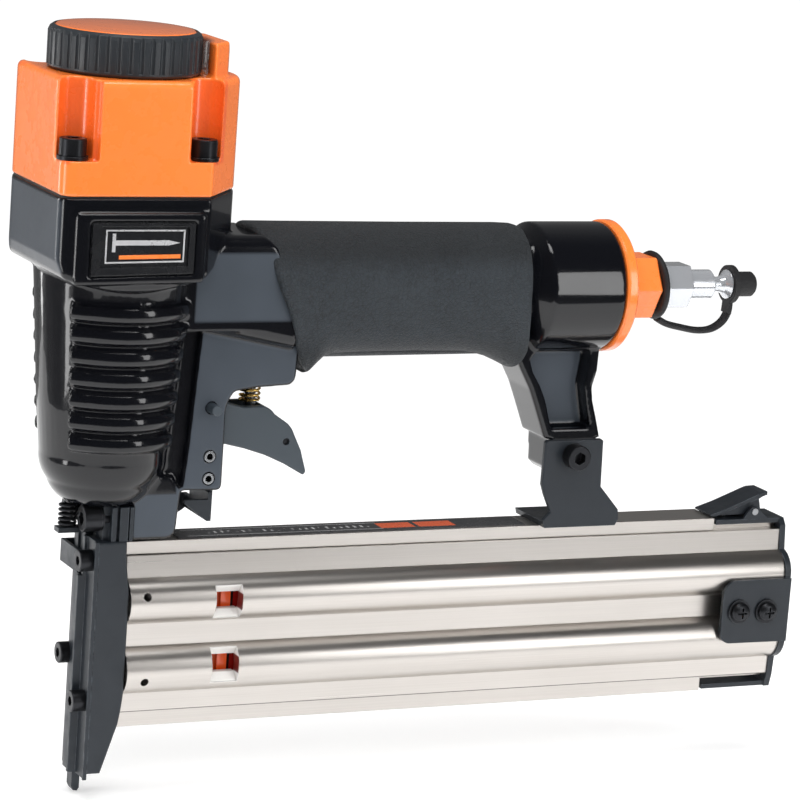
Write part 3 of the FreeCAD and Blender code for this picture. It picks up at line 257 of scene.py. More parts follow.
def casting_paint():
    """Gloss black. Satin on the flat flanks: a thinner, rougher coat in a lighter tone. The
    flat facing -X gets part of that coat and a painted reflection in the same lighter tone.
    """
    gloss_coat = 0.62
    shader = surface("gloss_black_paint", rgb(12, 13, 17), rough=0.16, coat=gloss_coat,
                     coat_rough=0.03, spec=0.16, vary=0.3, vary_scale=22, rough_vary=0.05,
                     grain=700, grain_amount=0.04, bevel=0.0006, wear=rgb(60, 62, 66),
                     wear_amount=0.3)
    x, y, z = shader.separate(shader.coords)
    facing = shader.separate(shader.normal())
    flat = shader.remap(shader.math("ABSOLUTE", facing[1]), span=(0.90, 0.985))
    side = shader.math("ABSOLUTE", y)
    low, foot, neck, pocket = [
        shader.times(shader.band(x, x_span, soft=x_soft), shader.band(z, z_span, soft=z_soft),
                     shader.band(side, side_span, soft=0.0002))
        for x_span, z_span, side_span, x_soft, z_soft in SATIN_PATCHES]
    flanks = shader.larger(shader.larger(low, foot), shader.larger(neck, pocket))
    flanks = shader.times(flanks, flat)
    # Painted reflection of the left light: the flat facing -X takes the lighter tone at part
    # strength, along with part of the rougher, thinner coat.
    end = shader.times(shader.remap(facing[0], span=(-0.80, -0.97)),
                       shader.band(z, span=(0.1690, 0.1955), soft=0.0005),
                       shader.band(x, span=(-0.0300, -0.0265), soft=0.0002))
    end_reflection_share = 0.75
    satin_and_reflection = shader.larger(flanks, shader.times(end, end_reflection_share))
    tone = shader.mix(shader.remap(shader.noise(scale=26), span=(0.3, 0.7)),
                      rgb(60, 66, 73), rgb(70, 76, 84))
    # The lighter tone is the flanks' own finish, and a painted reflection on the -X flat.
    shader.overlay(satin_and_reflection, tone)
    added_rough, lost_coat = 0.24, 0.5
    shader.set("Roughness", shader.plus(shader.current("Roughness"),
                                        shader.times(satin_and_reflection, added_rough)))
    shader.set("Coat Weight", shader.math("SUBTRACT", gloss_coat,
                                          shader.times(satin_and_reflection, lost_coat)))
    return shader


def orange_paint():
    """Cap paint with painted shade, nearly black, on the lug wall next to the deflector, and
    deeper red-orange painted shade in the screw channels.
    """
    shader = surface("orange_paint", rgb(250, 126, 48), rough=0.28, coat=0.6, coat_rough=0.08,
                     vary=0.22, vary_scale=26, rough_vary=0.08, grain=800, grain_amount=0.08,
                     bevel=0.0006, wear=rgb(250, 160, 90), wear_amount=0.5)
    x, y, z = shader.separate(shader.coords)
    radius = shader.math("SQRT", shader.plus(shader.times(x, x), shader.times(y, y)))
    near = shader.remap(radius, span=(0.0262, 0.0285), to=(1.0, 0.0))
    above = shader.remap(z, span=(0.2332, 0.2342))
    lug_shade_share, channel_shade_share = 0.86, 0.55
    # Painted shade on the lug's inner wall next to the deflector.
    shader.overlay(shader.times(near, above, lug_shade_share), rgb(60, 12, 4))
    x, y, z = shader.separate(shader.coords)
    side, along = shader.math("ABSOLUTE", y), shader.math("ABSOLUTE", x)
    # Painted shade in the screw channels: a deeper red-orange.
    channels = shader.times(shader.band(side, span=(0.0150, 0.0267), soft=0.0003),
                            shader.band(along, span=(0.0140, 0.0275), soft=0.0003),
                            shader.band(z, span=(0.2070, 0.2326), soft=0.0004))
    shader.overlay(shader.times(channels, channel_shade_share), rgb(230, 74, 24))
    return shader


def insert_plastic():
    """Pusher inserts: orange toward -X, a thin dark band, then red."""
    shader = surface("pusher_red", rgb(150, 24, 20), rough=0.22, coat=0.6, vary=0.3,
                     vary_scale=120, grain=1500, grain_amount=0.15, bevel=0.0002)
    x = shader.separate(shader.coords)[0]
    shader.overlay(shader.remap(x, span=(0.04520, 0.04530), to=(1.0, 0.0)), rgb(244, 92, 34))
    shader.overlay(shader.band(x, span=(0.0452, 0.0461), soft=0.00005), rgb(28, 10, 10))
    return shader


def magazine_metal():
    """Satin extrusion: fine lines along the length, faint die streaks, warm tint."""
    shader = Shader("satin_extrusion")
    fine = shader.noise(scale=1.0, rough=0.6, vector=shader.mapped(scale=(14, 2600, 2600)))
    die = shader.noise(scale=1.0, detail=2.0, vector=shader.mapped(scale=(2.5, 420, 420)))
    blotch = shader.noise(scale=18)
    base = shader.mix(shader.remap(blotch, span=(0.3, 0.7), to=(0.0, 0.5)),
                      rgb(207, 202, 197), rgb(196, 191, 186))
    color = shader.mix(shader.remap(fine, span=(0.3, 0.75), to=(0.0, 0.16)),
                       base, rgb(158, 154, 149))
    x, y, z = shader.separate(shader.coords)

    def two_bands(lower, upper, soft):
        return shader.plus(shader.band(z, lower, soft), shader.band(z, upper, soft), clamp=True)

    # Cut walls of the two windows.
    inside = shader.times(shader.band(x, span=(0.03700, 0.04650), soft=0.00004),
                          shader.band(y, span=(-0.0141, -0.0050)))
    windows = two_bands(lower=(0.0350, 0.0464), upper=(0.0562, 0.0676), soft=0.0001)
    cut = shader.times(inside, windows)
    # Painted contact shadow, with grime, as a dark line along the seam.
    seam_shade_and_grime = shader.times(shader.band(z, span=(0.02495, 0.02545), soft=0.00008),
                        shader.band(y, span=(-0.0095, -0.0065)))
    seam_shade_share = 0.8
    color = shader.mix(shader.times(seam_shade_and_grime, seam_shade_share), color, rgb(62, 60, 58))
    middle = two_bands(lower=(0.0380, 0.0435), upper=(0.0592, 0.0647), soft=0.0002)
    wall = shader.mix(middle, rgb(228, 226, 224), rgb(96, 26, 28))
    shader.set("Base Color", shader.mix(cut, color, wall))
    full_metal, cut_loss, die_share = 1.0, 0.9, 0.6
    shader.set("Metallic", shader.math("SUBTRACT", full_metal, shader.times(cut, cut_loss)))
    shader.set("Roughness", shader.remap(shader.plus(fine, die), span=(0.6, 1.4),
                                         to=(0.27, 0.36)))
    height = shader.plus(fine, shader.times(die, die_share))
    shader.bump(height, strength=0.04, distance=0.00003, normal=shader.bevel(radius=0.0003))
    return shader


def grip_rubber():
    """Moulded grip with a leather-like pebble and short fibres."""
    shader = Shader("grained_grip_rubber")
    warp = shader.noise(scale=420, detail=2.0)
    coarse = shader.cells(scale=780, turn=(0.3, 0.5, 0.2))
    small = shader.cells(scale=1500, turn=(0.9, 0.1, 0.7))
    fibre = shader.noise(scale=1.0, detail=4.0, rough=0.7, distortion=1.2,
                         vector=shader.mapped(scale=(900, 900, 260), turn=(0.0, 0.6, 0.4)))
    small_share, pebble_share, warp_share = 0.5, 0.5, 0.6
    pebble = shader.plus(shader.remap(coarse, span=(0.0, 0.16)),
                         shader.times(shader.remap(small, span=(0.0, 0.2)), small_share))
    height = shader.plus(shader.times(pebble, pebble_share),
                         shader.plus(fibre, shader.times(warp, warp_share)))
    color = shader.mix(shader.remap(height, span=(0.7, 2.0)), rgb(20, 24, 28), rgb(50, 58, 65))
    dust = shader.remap(shader.noise(scale=34, detail=5.0, rough=0.65), span=(0.45, 0.75),
                        to=(0.0, 0.35))
    color = shader.mix(dust, color, rgb(54, 61, 67))
    # Painted shade: darker toward the top and the bottom.
    z = shader.separate(shader.coords)[2]
    top = shader.remap(z, span=(0.1712, 0.1772), to=(0.0, 0.62))
    low = shader.remap(z, span=(0.1500, 0.1440), to=(0.0, 0.38))
    shader.set("Base Color", shader.mix(shader.larger(top, low), color, rgb(15, 18, 20)))
    shader.set("Roughness", shader.remap(fibre, span=(0.3, 0.7), to=(0.52, 0.72)))
    shader.set("Sheen Weight", 0.04)
    shader.set("Sheen Roughness", 0.5)
    shader.bump(height, strength=0.9, distance=0.00034)
    return shader


def label_film():
    """Dark strip with plain orange blocks and fine rules; no lettering."""
    shader = Shader("printed_strip")
    x, y, _ = shader.separate(shader.coords)
    color = shader.mix(shader.remap(shader.noise(scale=60), span=(0.3, 0.7), to=(0.0, 0.4)),
                       rgb(44, 44, 47), rgb(58, 58, 61))
    blocks = shader.plus(shader.band(x, span=(0.0995, 0.1120)),
                         shader.band(x, span=(0.1135, 0.1270)), clamp=True)
    blocks = shader.times(blocks, shader.band(y, span=(-0.0034, 0.0030)))
    color = shader.mix(blocks, color, rgb(216, 88, 42))
    rules = shader.plus(shader.band(y, span=(-0.0040, -0.0036), soft=0.00004),
                        shader.band(y, span=(0.0034, 0.0038), soft=0.00004), clamp=True)
    rules = shader.times(rules, shader.band(x, span=(0.030, 0.100)))
    ticks_per_metre, mark_share = 400.0, 0.75
    tick = shader.math("FRACT", shader.times(x, ticks_per_metre), b=0.0)
    row = shader.times(shader.band(y, span=(-0.0012, 0.0012)),
                       shader.band(x, span=(0.034, 0.096)))
    bars = shader.times(shader.band(tick, span=(0.2, 0.55), soft=0.04), row)
    patchy = shader.remap(shader.noise(scale=180, detail=2.0), span=(0.46, 0.5))
    marks = shader.plus(rules, shader.times(bars, patchy), clamp=True)
    color = shader.mix(shader.times(marks, mark_share), color, rgb(205, 205, 205))
    shader.set("Base Color", color)
    shader.set("Roughness", shader.remap(shader.noise(scale=300, detail=2.0),
                                         span=(0.3, 0.7), to=(0.24, 0.36)))
    shader.bump(shader.noise(scale=500, detail=2.0), strength=0.05, distance=0.0001)
    return shader


FINISHES = {
    "casting": casting_paint(),
    "orange": orange_paint(),
    "orange_plastic": surface(
        "orange_plastic", rgb(246, 122, 46), rough=0.30, coat=1.0, vary=0.2, vary_scale=40,
        grain=1200, grain_amount=0.12, bevel=0.0004),
    "knob": surface(
        "knob_plastic", rgb(38, 42, 46), rough=0.40, vary=0.35, vary_scale=35, rough_vary=0.14,
        grain=1600, grain_amount=0.25, bevel=0.0003, wear=rgb(96, 102, 108), wear_amount=0.45),
    "seal": surface(
        "seal_rubber", rgb(26, 26, 28), rough=0.62, vary=0.3, vary_scale=60, grain=2200,
        grain_amount=0.3, bevel=0.0),
    "oxide": surface(
        "black_oxide", rgb(48, 49, 52), rough=0.36, metal=0.85, vary=0.35, vary_scale=120,
        rough_vary=0.16, grain=2600, grain_amount=0.22, grain_depth=0.00005, bevel=0.00025,
        wear=rgb(120, 124, 128), wear_amount=0.8),
    "nose": surface(
        "blued_steel", rgb(36, 41, 47), rough=0.40, metal=0.25, vary=0.4, vary_scale=70,
        rough_vary=0.18, grain=1500, grain_amount=0.3, grain_depth=0.00008, bevel=0.0004,
        wear=rgb(104, 112, 120), wear_amount=0.7),
    "trigger": surface(
        "trigger_paint", rgb(58, 66, 73), rough=0.38, vary_scale=50, rough_vary=0.12,
        grain=1300, grain_amount=0.15, grain_depth=0.00008, bevel=0.0006,
        wear=rgb(140, 148, 156), wear_amount=0.4),
    "chrome": surface(
        "chrome_plate", rgb(214, 217, 222), rough=0.14, metal=0.65, coat=1.0, vary=0.15,
        vary_scale=90, rough_vary=0.07, grain=1400, grain_depth=0.00005, bevel=0.0003),
    "steel": surface(
        "ground_steel", rgb(165, 167, 170), rough=0.28, metal=1.0, vary_scale=80,
        rough_vary=0.14, grain_amount=0.12, grain_depth=0.00005, bevel=0.0003,
        stretch=(1, 1, 0.1)),
    "alu": surface(
        "honed_aluminium", rgb(196, 198, 200), rough=0.32, metal=1.0, vary=0.2, vary_scale=60,
        grain=1100, grain_amount=0.1, grain_depth=0.00005, bevel=0.0003),
    "bumper": surface(
        "urethane", rgb(150, 84, 40), rough=0.4, vary_scale=60, grain_amount=0.1, bevel=0.0),
    "brass": surface(
        "spring_brass", rgb(214, 180, 104), rough=0.24, metal=1.0, vary=0.2, vary_scale=200,
        grain=2000, grain_amount=0.1, grain_depth=0.00005, bevel=0.0),
    "pusher": surface(
        "pusher_orange", rgb(232, 92, 34), rough=0.35, vary_scale=120, grain=1500,
        grain_amount=0.15, bevel=0.0002),
    "inserts": insert_plastic(),
    "magazine": magazine_metal(),
    "lip": surface(
        "window_lip", rgb(232, 230, 226), rough=0.42, metal=0.25, vary_scale=120, grain=1400,
        grain_amount=0.06, bevel=0.0),
    "grip": grip_rubber(),
    "label": label_film(),
    "badge": surface(
        "badge_black", rgb(20, 21, 24), rough=0.25, coat=0.6, vary=0.3, vary_scale=80,
        grain=1200, grain_amount=0.08, bevel=0.0002),
    "silver": surface(
        "badge_silver", rgb(226, 226, 228), rough=0.30, metal=0.6, vary=0.2, vary_scale=150,
        grain=1800, grain_amount=0.1, bevel=0.0),
}

# CAD pieces of each finish; every piece not listed is in the nose finish.
PIECES = {
    "casting": "gun_body",
    "orange": "cylinder_cap end_cap",
    "orange_plastic": "deflector_disc",
    "badge": "badge_plate",
    "seal": "cap_gasket sleeve_seal piston_oring head_valve_oring end_cap_oring valve_orings "
            "dust_tether dust_cap",
    "oxide": "cap_screws cap_washers nose_screws nose_bolts nose_washers bracket_bolt "
             "bracket_nut end_screws end_washers deflector_screw lever_pin contact_spring",
    "steel": "roll_pins driver_blade valve_stem head_valve_spring valve_spring latch_pin "
             "latch_spring pusher_spring trigger_lever",
    "trigger": "trigger trigger_pin",
    "knob": "deflector_knob",
    "grip": "grip_sleeve",
    "chrome": "air_plug",
    "alu": "cylinder_sleeve piston head_valve valve_seat",
    "magazine": "magazine_rail magazine_channel",
    "label": "rail_label",
    "brass": "trigger_spring",
    "bumper": "bumper",
    "pusher": "nail_pusher",
    "inserts": "pusher_inserts",
}
FINISH_OF = {piece: finish for finish, names in PIECES.items() for piece in names.split()}


def paint(thing, finish):
    thing.data.materials.clear()
    thing.data.materials.append(FINISHES[finish].material)


for name, thing in NODES.items():
    paint(thing, FINISH_OF.get(name, "nose"))


# ------------------------------------------------------------------ mesh tools
def new_mesh(name, verts, faces, finish, smooth=True):
    mesh = bpy.data.meshes.new(name)
    mesh.from_pydata([tuple(v) for v in verts], [], [tuple(f) for f in faces])
    mesh.update()
    work = bmesh.new()
    work.from_mesh(mesh)
    bmesh.ops.recalc_face_normals(work, faces=work.faces)
    work.to_mesh(mesh)
    work.free()
    for face in mesh.polygons:
        face.use_smooth = smooth
    thing = bpy.data.objects.new(name, mesh)
    collection.objects.link(thing)
    paint(thing, finish)
    return thing


def ring_quads(rings, sides, closed=False):
    """Quads between successive rings of vertices; closed joins the last to the first."""
    quads = []
    for i in range(rings if closed else rings - 1):
        here, there = i * sides, (i + 1) % rings * sides
        for j in range(sides):
            k = (j + 1) % sides
            quads.append((here + j, here + k, there + k, there + j))
    return quads


def tube(name, points, radius, finish, sides, flat=1.0):
    """Capped round section swept along points; flat widens it across the path."""
    points = [Vector(p) for p in points]
    count = len(points)
    verts = []
    across = None
    for i, point in enumerate(points):
        along = (points[min(i + 1, count - 1)] - points[max(i - 1, 0)]).normalized()
        if across is None:
            across = Vector((0, 1, 0))
            if abs(along.dot(across)) >= 0.9:
                across = Vector((0, 0, 1))
        across = (across - along * across.dot(along)).normalized()
        third = along.cross(across)
        for j in range(sides):
            angle = 2 * math.pi * j / sides
            verts.append(point + across * (radius * flat * math.cos(angle))
                         + third * (radius * math.sin(angle)))
    faces = ring_quads(count, sides)
    faces.append(range(sides - 1, -1, -1))
    faces.append(range((count - 1) * sides, count * sides))
    return new_mesh(name, verts, faces, finish)


# ------------------------------------------------------------------ castings
VOXEL = 0.0005


def soft_casting(node, name, passes, finish):
    """A denser copy of a CAD casting with its edges softened, standing for the node."""
    mesh = NODES[node].data.copy()
    mesh.name = name
    thing = bpy.data.objects.new(name, mesh)
    collection.objects.link(thing)
    remesh = thing.modifiers.new("voxels", "REMESH")
    remesh.mode = "VOXEL"
    remesh.voxel_size = VOXEL
    remesh.use_smooth_shade = True
    soften = thing.modifiers.new("soften", "SMOOTH")
    soften.factor = 0.5
    soften.iterations = passes
    depsgraph = bpy.context.evaluated_depsgraph_get()
    depsgraph.update()
    final = bpy.data.meshes.new_from_object(thing.evaluated_get(depsgraph))
    thing.modifiers.clear()
    thing.data = final
    for face in final.polygons:
        face.use_smooth = True
    paint(thing, finish)
    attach(thing, "tool_body")
    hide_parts(node)


soft_casting("gun_body", "casting_shell", passes=9, finish="casting")
soft_casting("cylinder_cap", "cap_shell", passes=5, finish="orange")

# ------------------------------------------------------------------ grip (mm)
# Upper and lower outlines: X, Z.
GRIP_TOP = [(43, 184.9), (60, 184.7), (100, 184.4), (136, 184.3), (143, 184.0)]
GRIP_BOTTOM = [
    (60, 139.6), (63.5, 136.6), (66.5, 135.6), (69, 138.4), (71.5, 140.9), (75, 142.0),
    (85, 142.3), (103, 142.4), (122, 142.0), (128, 141.3), (133, 140.0), (138, 137.9),
    (142, 136.0), (144, 135.6)]
# End outlines toward -X and +X: Z, X.
GRIP_NEAR_END = [
    (135, 67.0), (136.1, 66.4), (140.0, 62.2), (147.1, 58.6), (156.9, 55.2), (167.6, 50.6),
    (179.0, 46.6), (184.9, 44.2)]
GRIP_FAR_END = [
    (135, 142.6), (138.8, 143.0), (143.4, 143.1), (150.8, 142.0), (160.5, 141.3),
    (174.4, 141.2), (182.2, 141.5), (184.9, 143.0)]
# Rounded ends: share of the length, inset.
GRIP_END_ROUND = [(0.0, 2.4), (0.0, 1.1), (0.0025, 0.5), (0.008, 0.15)]
GRIP_PLAIN_START = 0.016      # share of the length where the plain rings begin
GRIP_MID_Z = 163.3
GRIP_START_RISE = 21.0        # first guess of the half height
GRIP_HALF_WIDTH = 18.6
GRIP_SQUARENESS = 0.80        # exponent of the section; 1 is an ellipse
GRIP_PALM_SWELL = 0.02
GRIP_INSET_BASE = 20.0        # an inset scales the section by 1 - inset / base
GRIP_STEPS, GRIP_SIDES = 150, 120
BORE_Z, BORE_SCALE, BORE_STEP = 163.2, 0.93, 2.0


def interpolate(table, at):
    places, values = zip(*table)
    return float(np.interp(at, places, values))


def grip_point(share, angle, inset):
    def squared(value):
        return math.copysign(abs(value) ** GRIP_SQUARENESS, value)

    rise, side = squared(math.sin(angle)), squared(math.cos(angle))
    z = GRIP_MID_Z + GRIP_START_RISE * rise
    # X and Z depend on each other through the outlines, so they are settled in turns.
    for _ in range(6):
        near, far = interpolate(GRIP_NEAR_END, z), interpolate(GRIP_FAR_END, z)
        x = near + (far - near) * share
        top, bottom = interpolate(GRIP_TOP, x), interpolate(GRIP_BOTTOM, x)
        z = GRIP_MID_Z + (top - GRIP_MID_Z if rise > 0 else GRIP_MID_Z - bottom) * rise
    y = GRIP_HALF_WIDTH * side * (1.0 + GRIP_PALM_SWELL * math.sin(math.pi * share))
    scale = 1 - inset / GRIP_INSET_BASE
    return x * MM, y * scale * MM, (GRIP_MID_Z + (z - GRIP_MID_Z) * scale) * MM


def build_grip():
    plain_length = 1 - 2 * GRIP_PLAIN_START
    stations = list(GRIP_END_ROUND)
    stations += [(GRIP_PLAIN_START + plain_length * i / GRIP_STEPS, 0.0)
                 for i in range(GRIP_STEPS + 1)]
    stations += [(1 - share, inset) for share, inset in reversed(GRIP_END_ROUND)]
    sides = GRIP_SIDES
    verts = [grip_point(share, 2 * math.pi * j / sides, inset)
             for share, inset in stations for j in range(sides)]
    faces = ring_quads(len(stations), sides)
    # An inner skin closes the sleeve.
    first, last = 0, (len(stations) - 1) * sides
    inner_first, inner_last = last + sides, last + 2 * sides
    bore_z = BORE_Z * MM
    for start, step in ((first, BORE_STEP * MM), (last, -BORE_STEP * MM)):
        for j in range(sides):
            x, y, z = Vector(verts[start + j])
            verts.append((x + step, y * BORE_SCALE, bore_z + (z - bore_z) * BORE_SCALE))
    for j in range(sides):
        k = (j + 1) % sides
        faces.append((first + j, inner_first + j, inner_first + k, first + k))
        faces.append((last + k, inner_last + k, inner_last + j, last + j))
        faces.append((inner_first + j, inner_last + j, inner_last + k, inner_first + k))
    grip = new_mesh("grip_rubber_sleeve", verts, faces, "grip")
    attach(grip, "tool_body")
    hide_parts("grip_sleeve")


build_grip()

# ------------------------------------------------------------------ springs (m)
CLOSED_TURNS = 0.8            # tight turns at each end
CLOSED_PITCH = 2.05           # their pitch in wire radii
POINTS_PER_TURN = 22


def coil_points(low, high, wire, turns, axis):
    """Centre line of a coil that fills the box, with tight end turns."""
    across, third = [i for i in range(3) if i != axis]
    center = (low + high) / 2
    radius = (high[across] - low[across]) / 2 - wire
    length = high[axis] - low[axis] - 2 * wire
    total = turns + 2 * CLOSED_TURNS
    closed = CLOSED_TURNS * wire * CLOSED_PITCH
    count = int(total * POINTS_PER_TURN)
    points = []
    for i in range(count + 1):
        turn = i / count * total
        if turn < CLOSED_TURNS:
            height = turn * wire * CLOSED_PITCH
        elif turn > total - CLOSED_TURNS:
            height = length - (total - turn) * wire * CLOSED_PITCH
        else:
            height = closed + (turn - CLOSED_TURNS) / turns * (length - 2 * closed)
        point = [0, 0, 0]
        point[axis] = low[axis] + wire + height
        point[across] = center[across] + radius * math.cos(2 * math.pi * turn)
        point[third] = center[third] + radius * math.sin(2 * math.pi * turn)
        points.append(point)
    return points


def spring(name, node, wire, turns, finish, body="tool_body", axis=2):
    """A coil that fills the node's box, attached to the body in place of the hidden node."""
    low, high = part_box(node)
    points = coil_points(Vector(low), Vector(high), wire, turns, axis)
    coil = tube(name, points, wire, finish, sides=8)
    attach(coil, body)
    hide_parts(node)
    anchor = [(low[i] + high[i]) / 2 for i in range(3)]
    anchor[axis] = high[axis]
    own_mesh(coil)


spring("trigger_coil", "trigger_spring", wire=0.00042, turns=3.2, finish="brass")
spring("contact_coil", "contact_spring", wire=0.0005, turns=3.6, finish="oxide")
spring("head_valve_coil", "head_valve_spring", wire=0.00085, turns=2.6, finish="steel")
spring("valve_coil", "valve_spring", wire=0.0004, turns=3.0, finish="steel")
spring("pusher_coil", "pusher_spring", wire=0.00035, turns=42, finish="steel",
       body="magazine_slide_body", axis=0)

# ------------------------------------------------------------------ badge (mm)
BADGE_Y = -28.4


def badge_piece(name, depth, finish, outer, inner=()):
    """Plate, or frame if it has an inner outline, raised toward -Y; outlines are X, Z."""
    verts = [(x * MM, (BADGE_Y - rise) * MM, z * MM)
             for rise in (0.0, depth) for x, z in (*outer, *inner)]
    n = len(outer)
    if inner:
        faces = []
        for i in range(n):
            j = (i + 1) % n
            faces += [(i, j, n + j, n + i), (2 * n + i, 3 * n + i, 3 * n + j, 2 * n + j),
                      (i, 2 * n + i, 2 * n + j, j), (n + i, n + j, 3 * n + j, 3 * n + i)]
    else:
        faces = [range(n), range(2 * n - 1, n - 1, -1)]
        faces += [(i, (i + 1) % n, n + (i + 1) % n, n + i) for i in range(n)]
    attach(new_mesh(name, verts, faces, finish, smooth=False), "tool_body")


badge_piece("badge_step", depth=0.7, finish="badge",
            outer=[(-18.1, 172.8), (15.8, 173.6), (15.8, 189.2), (-18.1, 189.2)],
            inner=[(-15.2, 175.3), (13.9, 175.8), (13.9, 188.2), (-15.2, 188.2)])
badge_piece("badge_line", depth=0.12, finish="silver",
            outer=[(-13.6, 176.6), (12.6, 177.0), (12.6, 187.2), (-13.6, 187.2)],
            inner=[(-13.1, 177.1), (12.1, 177.5), (12.1, 186.7), (-13.1, 186.7)])
badge_piece("badge_stripe", depth=0.15, finish="orange",
            outer=[(-9.0, 177.9), (11.4, 178.2), (11.4, 179.5), (-9.0, 179.2)])
# Plain nail pictogram: head, then shank with its point toward +X.
badge_piece("badge_nail_head", depth=0.18, finish="silver",
            outer=[(-11.4, 180.2), (-10.3, 180.2), (-10.3, 186.0), (-11.4, 186.0)])
badge_piece("badge_nail_shank", depth=0.18, finish="silver",
            outer=[(-10.3, 182.3), (7.4, 182.3), (11.0, 183.1), (7.4, 183.9), (-10.3, 183.9)])

# ------------------------------------------------------------------ tether strap (mm)
# Centre line: X, Z.
STRAP_PATH = [
    (199.0, 151.6), (203.0, 149.6), (209.0, 148.2), (215.0, 147.2), (220.5, 147.6),
    (224.6, 150.0), (226.6, 153.4), (226.9, 156.8)]
STRAP_STEPS = 5


def smooth_path(path, steps):
    """Catmull-Rom curve through the path."""
    points = []
    for i in range(len(path) - 1):
        stops = (path[max(i - 1, 0)], path[i], path[i + 1], path[min(i + 2, len(path) - 1)])
        for step in range(steps):
            t = step / steps
            points.append([
                0.5 * ((2 * b) + (-a + c) * t + (2 * a - 5 * b + 4 * c - d) * t * t
                       + (-a + 3 * b - 3 * c + d) * t ** 3)
                for a, b, c, d in zip(*stops)])
    return points + [path[-1]]


strap = tube("tether_strap", [(x * MM, 0.0, z * MM) for x, z in
                              smooth_path(STRAP_PATH, STRAP_STEPS)],
             radius=0.00115, finish="seal", sides=14, flat=1.9)
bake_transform(strap)

# ------------------------------------------------------------------ magazine windows (mm)
LIP_X = (37.16, 46.34)
LIP_CHAMFER = 0.28
LIP_TAPER = 0.12              # share by which the end profiles shrink
# Lip profiles: Y, Z.
LIPS = {
    "window_lip_upper_top": [(-12.3, 67.34), (-12.2, 67.0), (-10.4, 64.9), (-10.1, 64.8),
                             (-8.3, 64.8), (-8.3, 67.34)],
    "window_lip_upper_low": [(-11.2, 56.46), (-11.2, 56.8), (-9.9, 58.9), (-9.6, 59.1),
                             (-7.6, 59.1), (-7.6, 56.46)],
    "window_lip_lower_top": [(-10.9, 46.14), (-10.9, 45.8), (-9.7, 43.7), (-9.4, 43.6),
                             (-7.6, 43.6), (-7.6, 46.14)],
    "window_lip_lower_low": [(-12.7, 35.26), (-12.6, 35.6), (-10.6, 37.8), (-10.3, 37.9),
                             (-8.3, 37.9), (-8.3, 35.26)],
}


def window_lip(name, profile):
    """Sloped, pale lip along X inside a window, its ends chamfered."""
    n = len(profile)
    mid_y = sum(y for y, z in profile) / n
    mid_z = sum(z for y, z in profile) / n
    start, end = LIP_X
    verts = []
    for x, taper in ((start, LIP_TAPER), (start + LIP_CHAMFER, 0),
                     (end - LIP_CHAMFER, 0), (end, LIP_TAPER)):
        for y, z in profile:
            verts.append((x * MM, (y + (mid_y - y) * taper) * MM,
                          (z + (mid_z - z) * taper) * MM))
    faces = ring_quads(4, n) + [range(n), range(4 * n - 1, 3 * n - 1, -1)]
    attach(new_mesh(name, verts, faces, "lip", smooth=False), "magazine_slide_body")


for name, profile in LIPS.items():
    window_lip(name, profile)

# ------------------------------------------------------------------ tether ring (mm)
# Section turned about an axis along X: X from the ring's place, radius.
RING_SECTION = [
    (0.5, 6.7), (0.35, 7.2), (0.3, 10.6), (0.7, 11.4), (1.5, 11.7), (2.3, 11.4),
    (2.7, 10.6), (2.65, 7.2), (2.5, 6.7)]
RING_X, RING_Z = 194.6, 163.2
RING_LEAN = 0.06              # shift toward -X for each mm of height
RING_SIDES = 64


def build_tether_ring():
    verts = []
    for x, radius in RING_SECTION:
        for j in range(RING_SIDES):
            angle = 2 * math.pi * j / RING_SIDES
            y, z = radius * math.cos(angle), radius * math.sin(angle)
            verts.append(((RING_X + x - RING_LEAN * z) * MM, y * MM, RING_Z * MM + z * MM))
    faces = ring_quads(len(RING_SECTION), RING_SIDES, closed=True)
    ring = new_mesh("tether_ring", verts, faces, "seal")
    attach(ring, "tool_body")
    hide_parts("dust_tether")


build_tether_ring()


# ------------------------------------------------------------------ floor and world
def build_floor():
    bpy.ops.mesh.primitive_plane_add(size=1.0, location=(0.11, 0.06, -0.0032))
    floor = bpy.context.object
    floor.name = "studio_floor"
    floor.scale = (0.95, 0.95, 1.0)
    paper = surface("studio_paper", rgb(252, 252, 252), rough=0.9, vary=0.02, vary_scale=4,
                    rough_vary=0.05, grain=60, grain_amount=0.0, bevel=0.0, spec=0.1)
    paper.set("Emission Color", (1.0, 1.0, 1.0, 1.0))
    paper.set("Emission Strength", 0.16)
    floor.data.materials.append(paper.material)


def build_world():
    """White to the camera, even for diffuse light, dim and graded in reflections."""
    scene.world = bpy.data.worlds.new("studio")
    graph = Graph(scene.world)

    def choose(amount, base, over):
        node = graph.node("ShaderNodeMix", data_type="FLOAT")
        for index, value in ((0, amount), (2, base), (3, over)):
            graph.put(node.inputs[index], value)
        return node.outputs[0]

    output = graph.node("ShaderNodeOutputWorld")
    background = graph.node("ShaderNodeBackground")
    rays = graph.node("ShaderNodeLightPath").outputs
    _, y, z = graph.separate(graph.node("ShaderNodeTexCoord").outputs["Generated"])
    behind = graph.remap(y, span=(-0.05, 0.45), to=(0.03, 0.15))
    below = graph.remap(z, span=(-0.55, -0.12), to=(0.30, 0.0))
    reflected = graph.node("ShaderNodeMath", operation="ADD")
    graph.put(reflected.inputs[0], behind)
    graph.put(reflected.inputs[1], below)
    strength = choose(rays["Is Glossy Ray"], base=0.62, over=reflected.outputs[0])
    strength = choose(rays["Is Camera Ray"], base=strength, over=1.05)
    graph.put(background.inputs[0], (1.0, 1.0, 1.0, 1.0))
    graph.put(background.inputs[1], strength)
    graph.put(output.inputs[0], background.outputs[0])


build_floor()
build_world()


# ------------------------------------------------------------------ lights (m, W)
def area(name, at, target, size, power, height=None, glossy=True):
    """Rectangular light aimed at target, square unless height is given."""
    light = bpy.data.lights.new(name, "AREA")
    light.energy = power
    light.shape = "RECTANGLE"
    light.size = size
    light.size_y = height or size
    lamp = bpy.data.objects.new(name, light)
    collection.objects.link(lamp)
    lamp.location = at
    lamp.rotation_euler = (Vector(target) - Vector(at)).to_track_quat("-Z", "Y").to_euler()
    lamp.visible_glossy = glossy


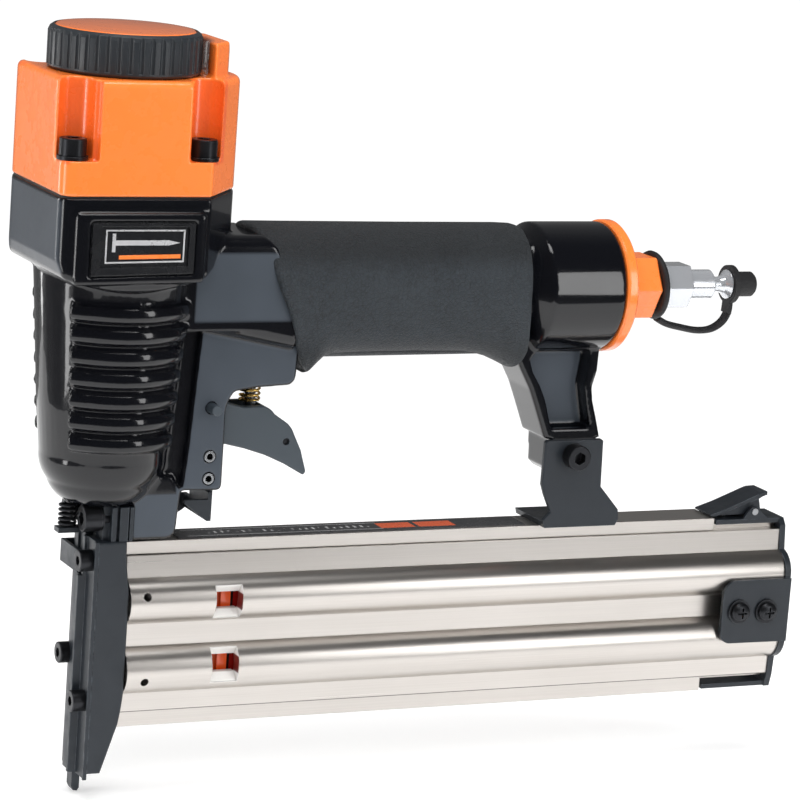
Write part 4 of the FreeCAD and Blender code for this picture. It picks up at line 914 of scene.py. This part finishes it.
# Soft lights that do not show in reflections.
area("key_soft", at=(-0.35, -0.95, 0.85), target=(0.08, 0, 0.12), size=0.8, power=4.5,
     glossy=False)
area("fill_soft", at=(0.9, -0.7, 0.6), target=(0.1, 0, 0.12), size=0.7, power=2.2,
     glossy=False)
area("top_soft", at=(0.1, 0.1, 1.1), target=(0.1, 0, 0.1), size=0.8, power=3.0, glossy=False)
# Boxes and a strip that do.
area("box_left", at=(-0.62, -0.02, 0.20), target=(0, 0, 0.15), size=0.10, power=1.5,
     height=0.55)
area("box_right", at=(0.55, -0.75, 0.34), target=(0.08, 0, 0.13), size=0.18, power=1.7,
     height=0.55)
area("strip_left", at=(-0.45, 0.66, 0.16), target=(0, 0, 0.15), size=0.09, power=1.1,
     height=0.55)
area("box_top", at=(0.0, -0.12, 0.75), target=(0.05, 0, 0.2), size=0.5, power=1.8,
     height=0.18)

# ------------------------------------------------------------------ camera
CAMERA_YAW, CAMERA_PITCH, CAMERA_ROLL = map(math.radians, (-25.761, 11.605, -4.23))
CAMERA_TARGET = Vector((104.33611, 0, 124.96316))    # mm
CAMERA_DISTANCE = 1193.44532                         # mm
LENS, SENSOR_WIDTH = 161.910495, 36.0                # mm


def build_camera():
    level = math.cos(CAMERA_PITCH)
    back = Vector((math.sin(CAMERA_YAW) * level, -math.cos(CAMERA_YAW) * level,
                   math.sin(CAMERA_PITCH)))
    forward = -back
    right = forward.cross(Vector((0, 0, 1))).normalized()
    up = right.cross(forward)
    cosine, sine = math.cos(CAMERA_ROLL), math.sin(CAMERA_ROLL)
    place = (CAMERA_TARGET - forward * CAMERA_DISTANCE) * MM
    columns = (right * cosine - up * sine, right * sine + up * cosine, back, place)
    data = bpy.data.cameras.new("view_camera")
    data.sensor_width = SENSOR_WIDTH
    data.lens = LENS
    data.clip_start = 0.01
    camera = bpy.data.objects.new("view_camera", data)
    collection.objects.link(camera)
    camera.matrix_world = Matrix((*zip(*columns), (0, 0, 0, 1)))
    scene.camera = camera


build_camera()
scene.view_settings.view_transform = "Standard"
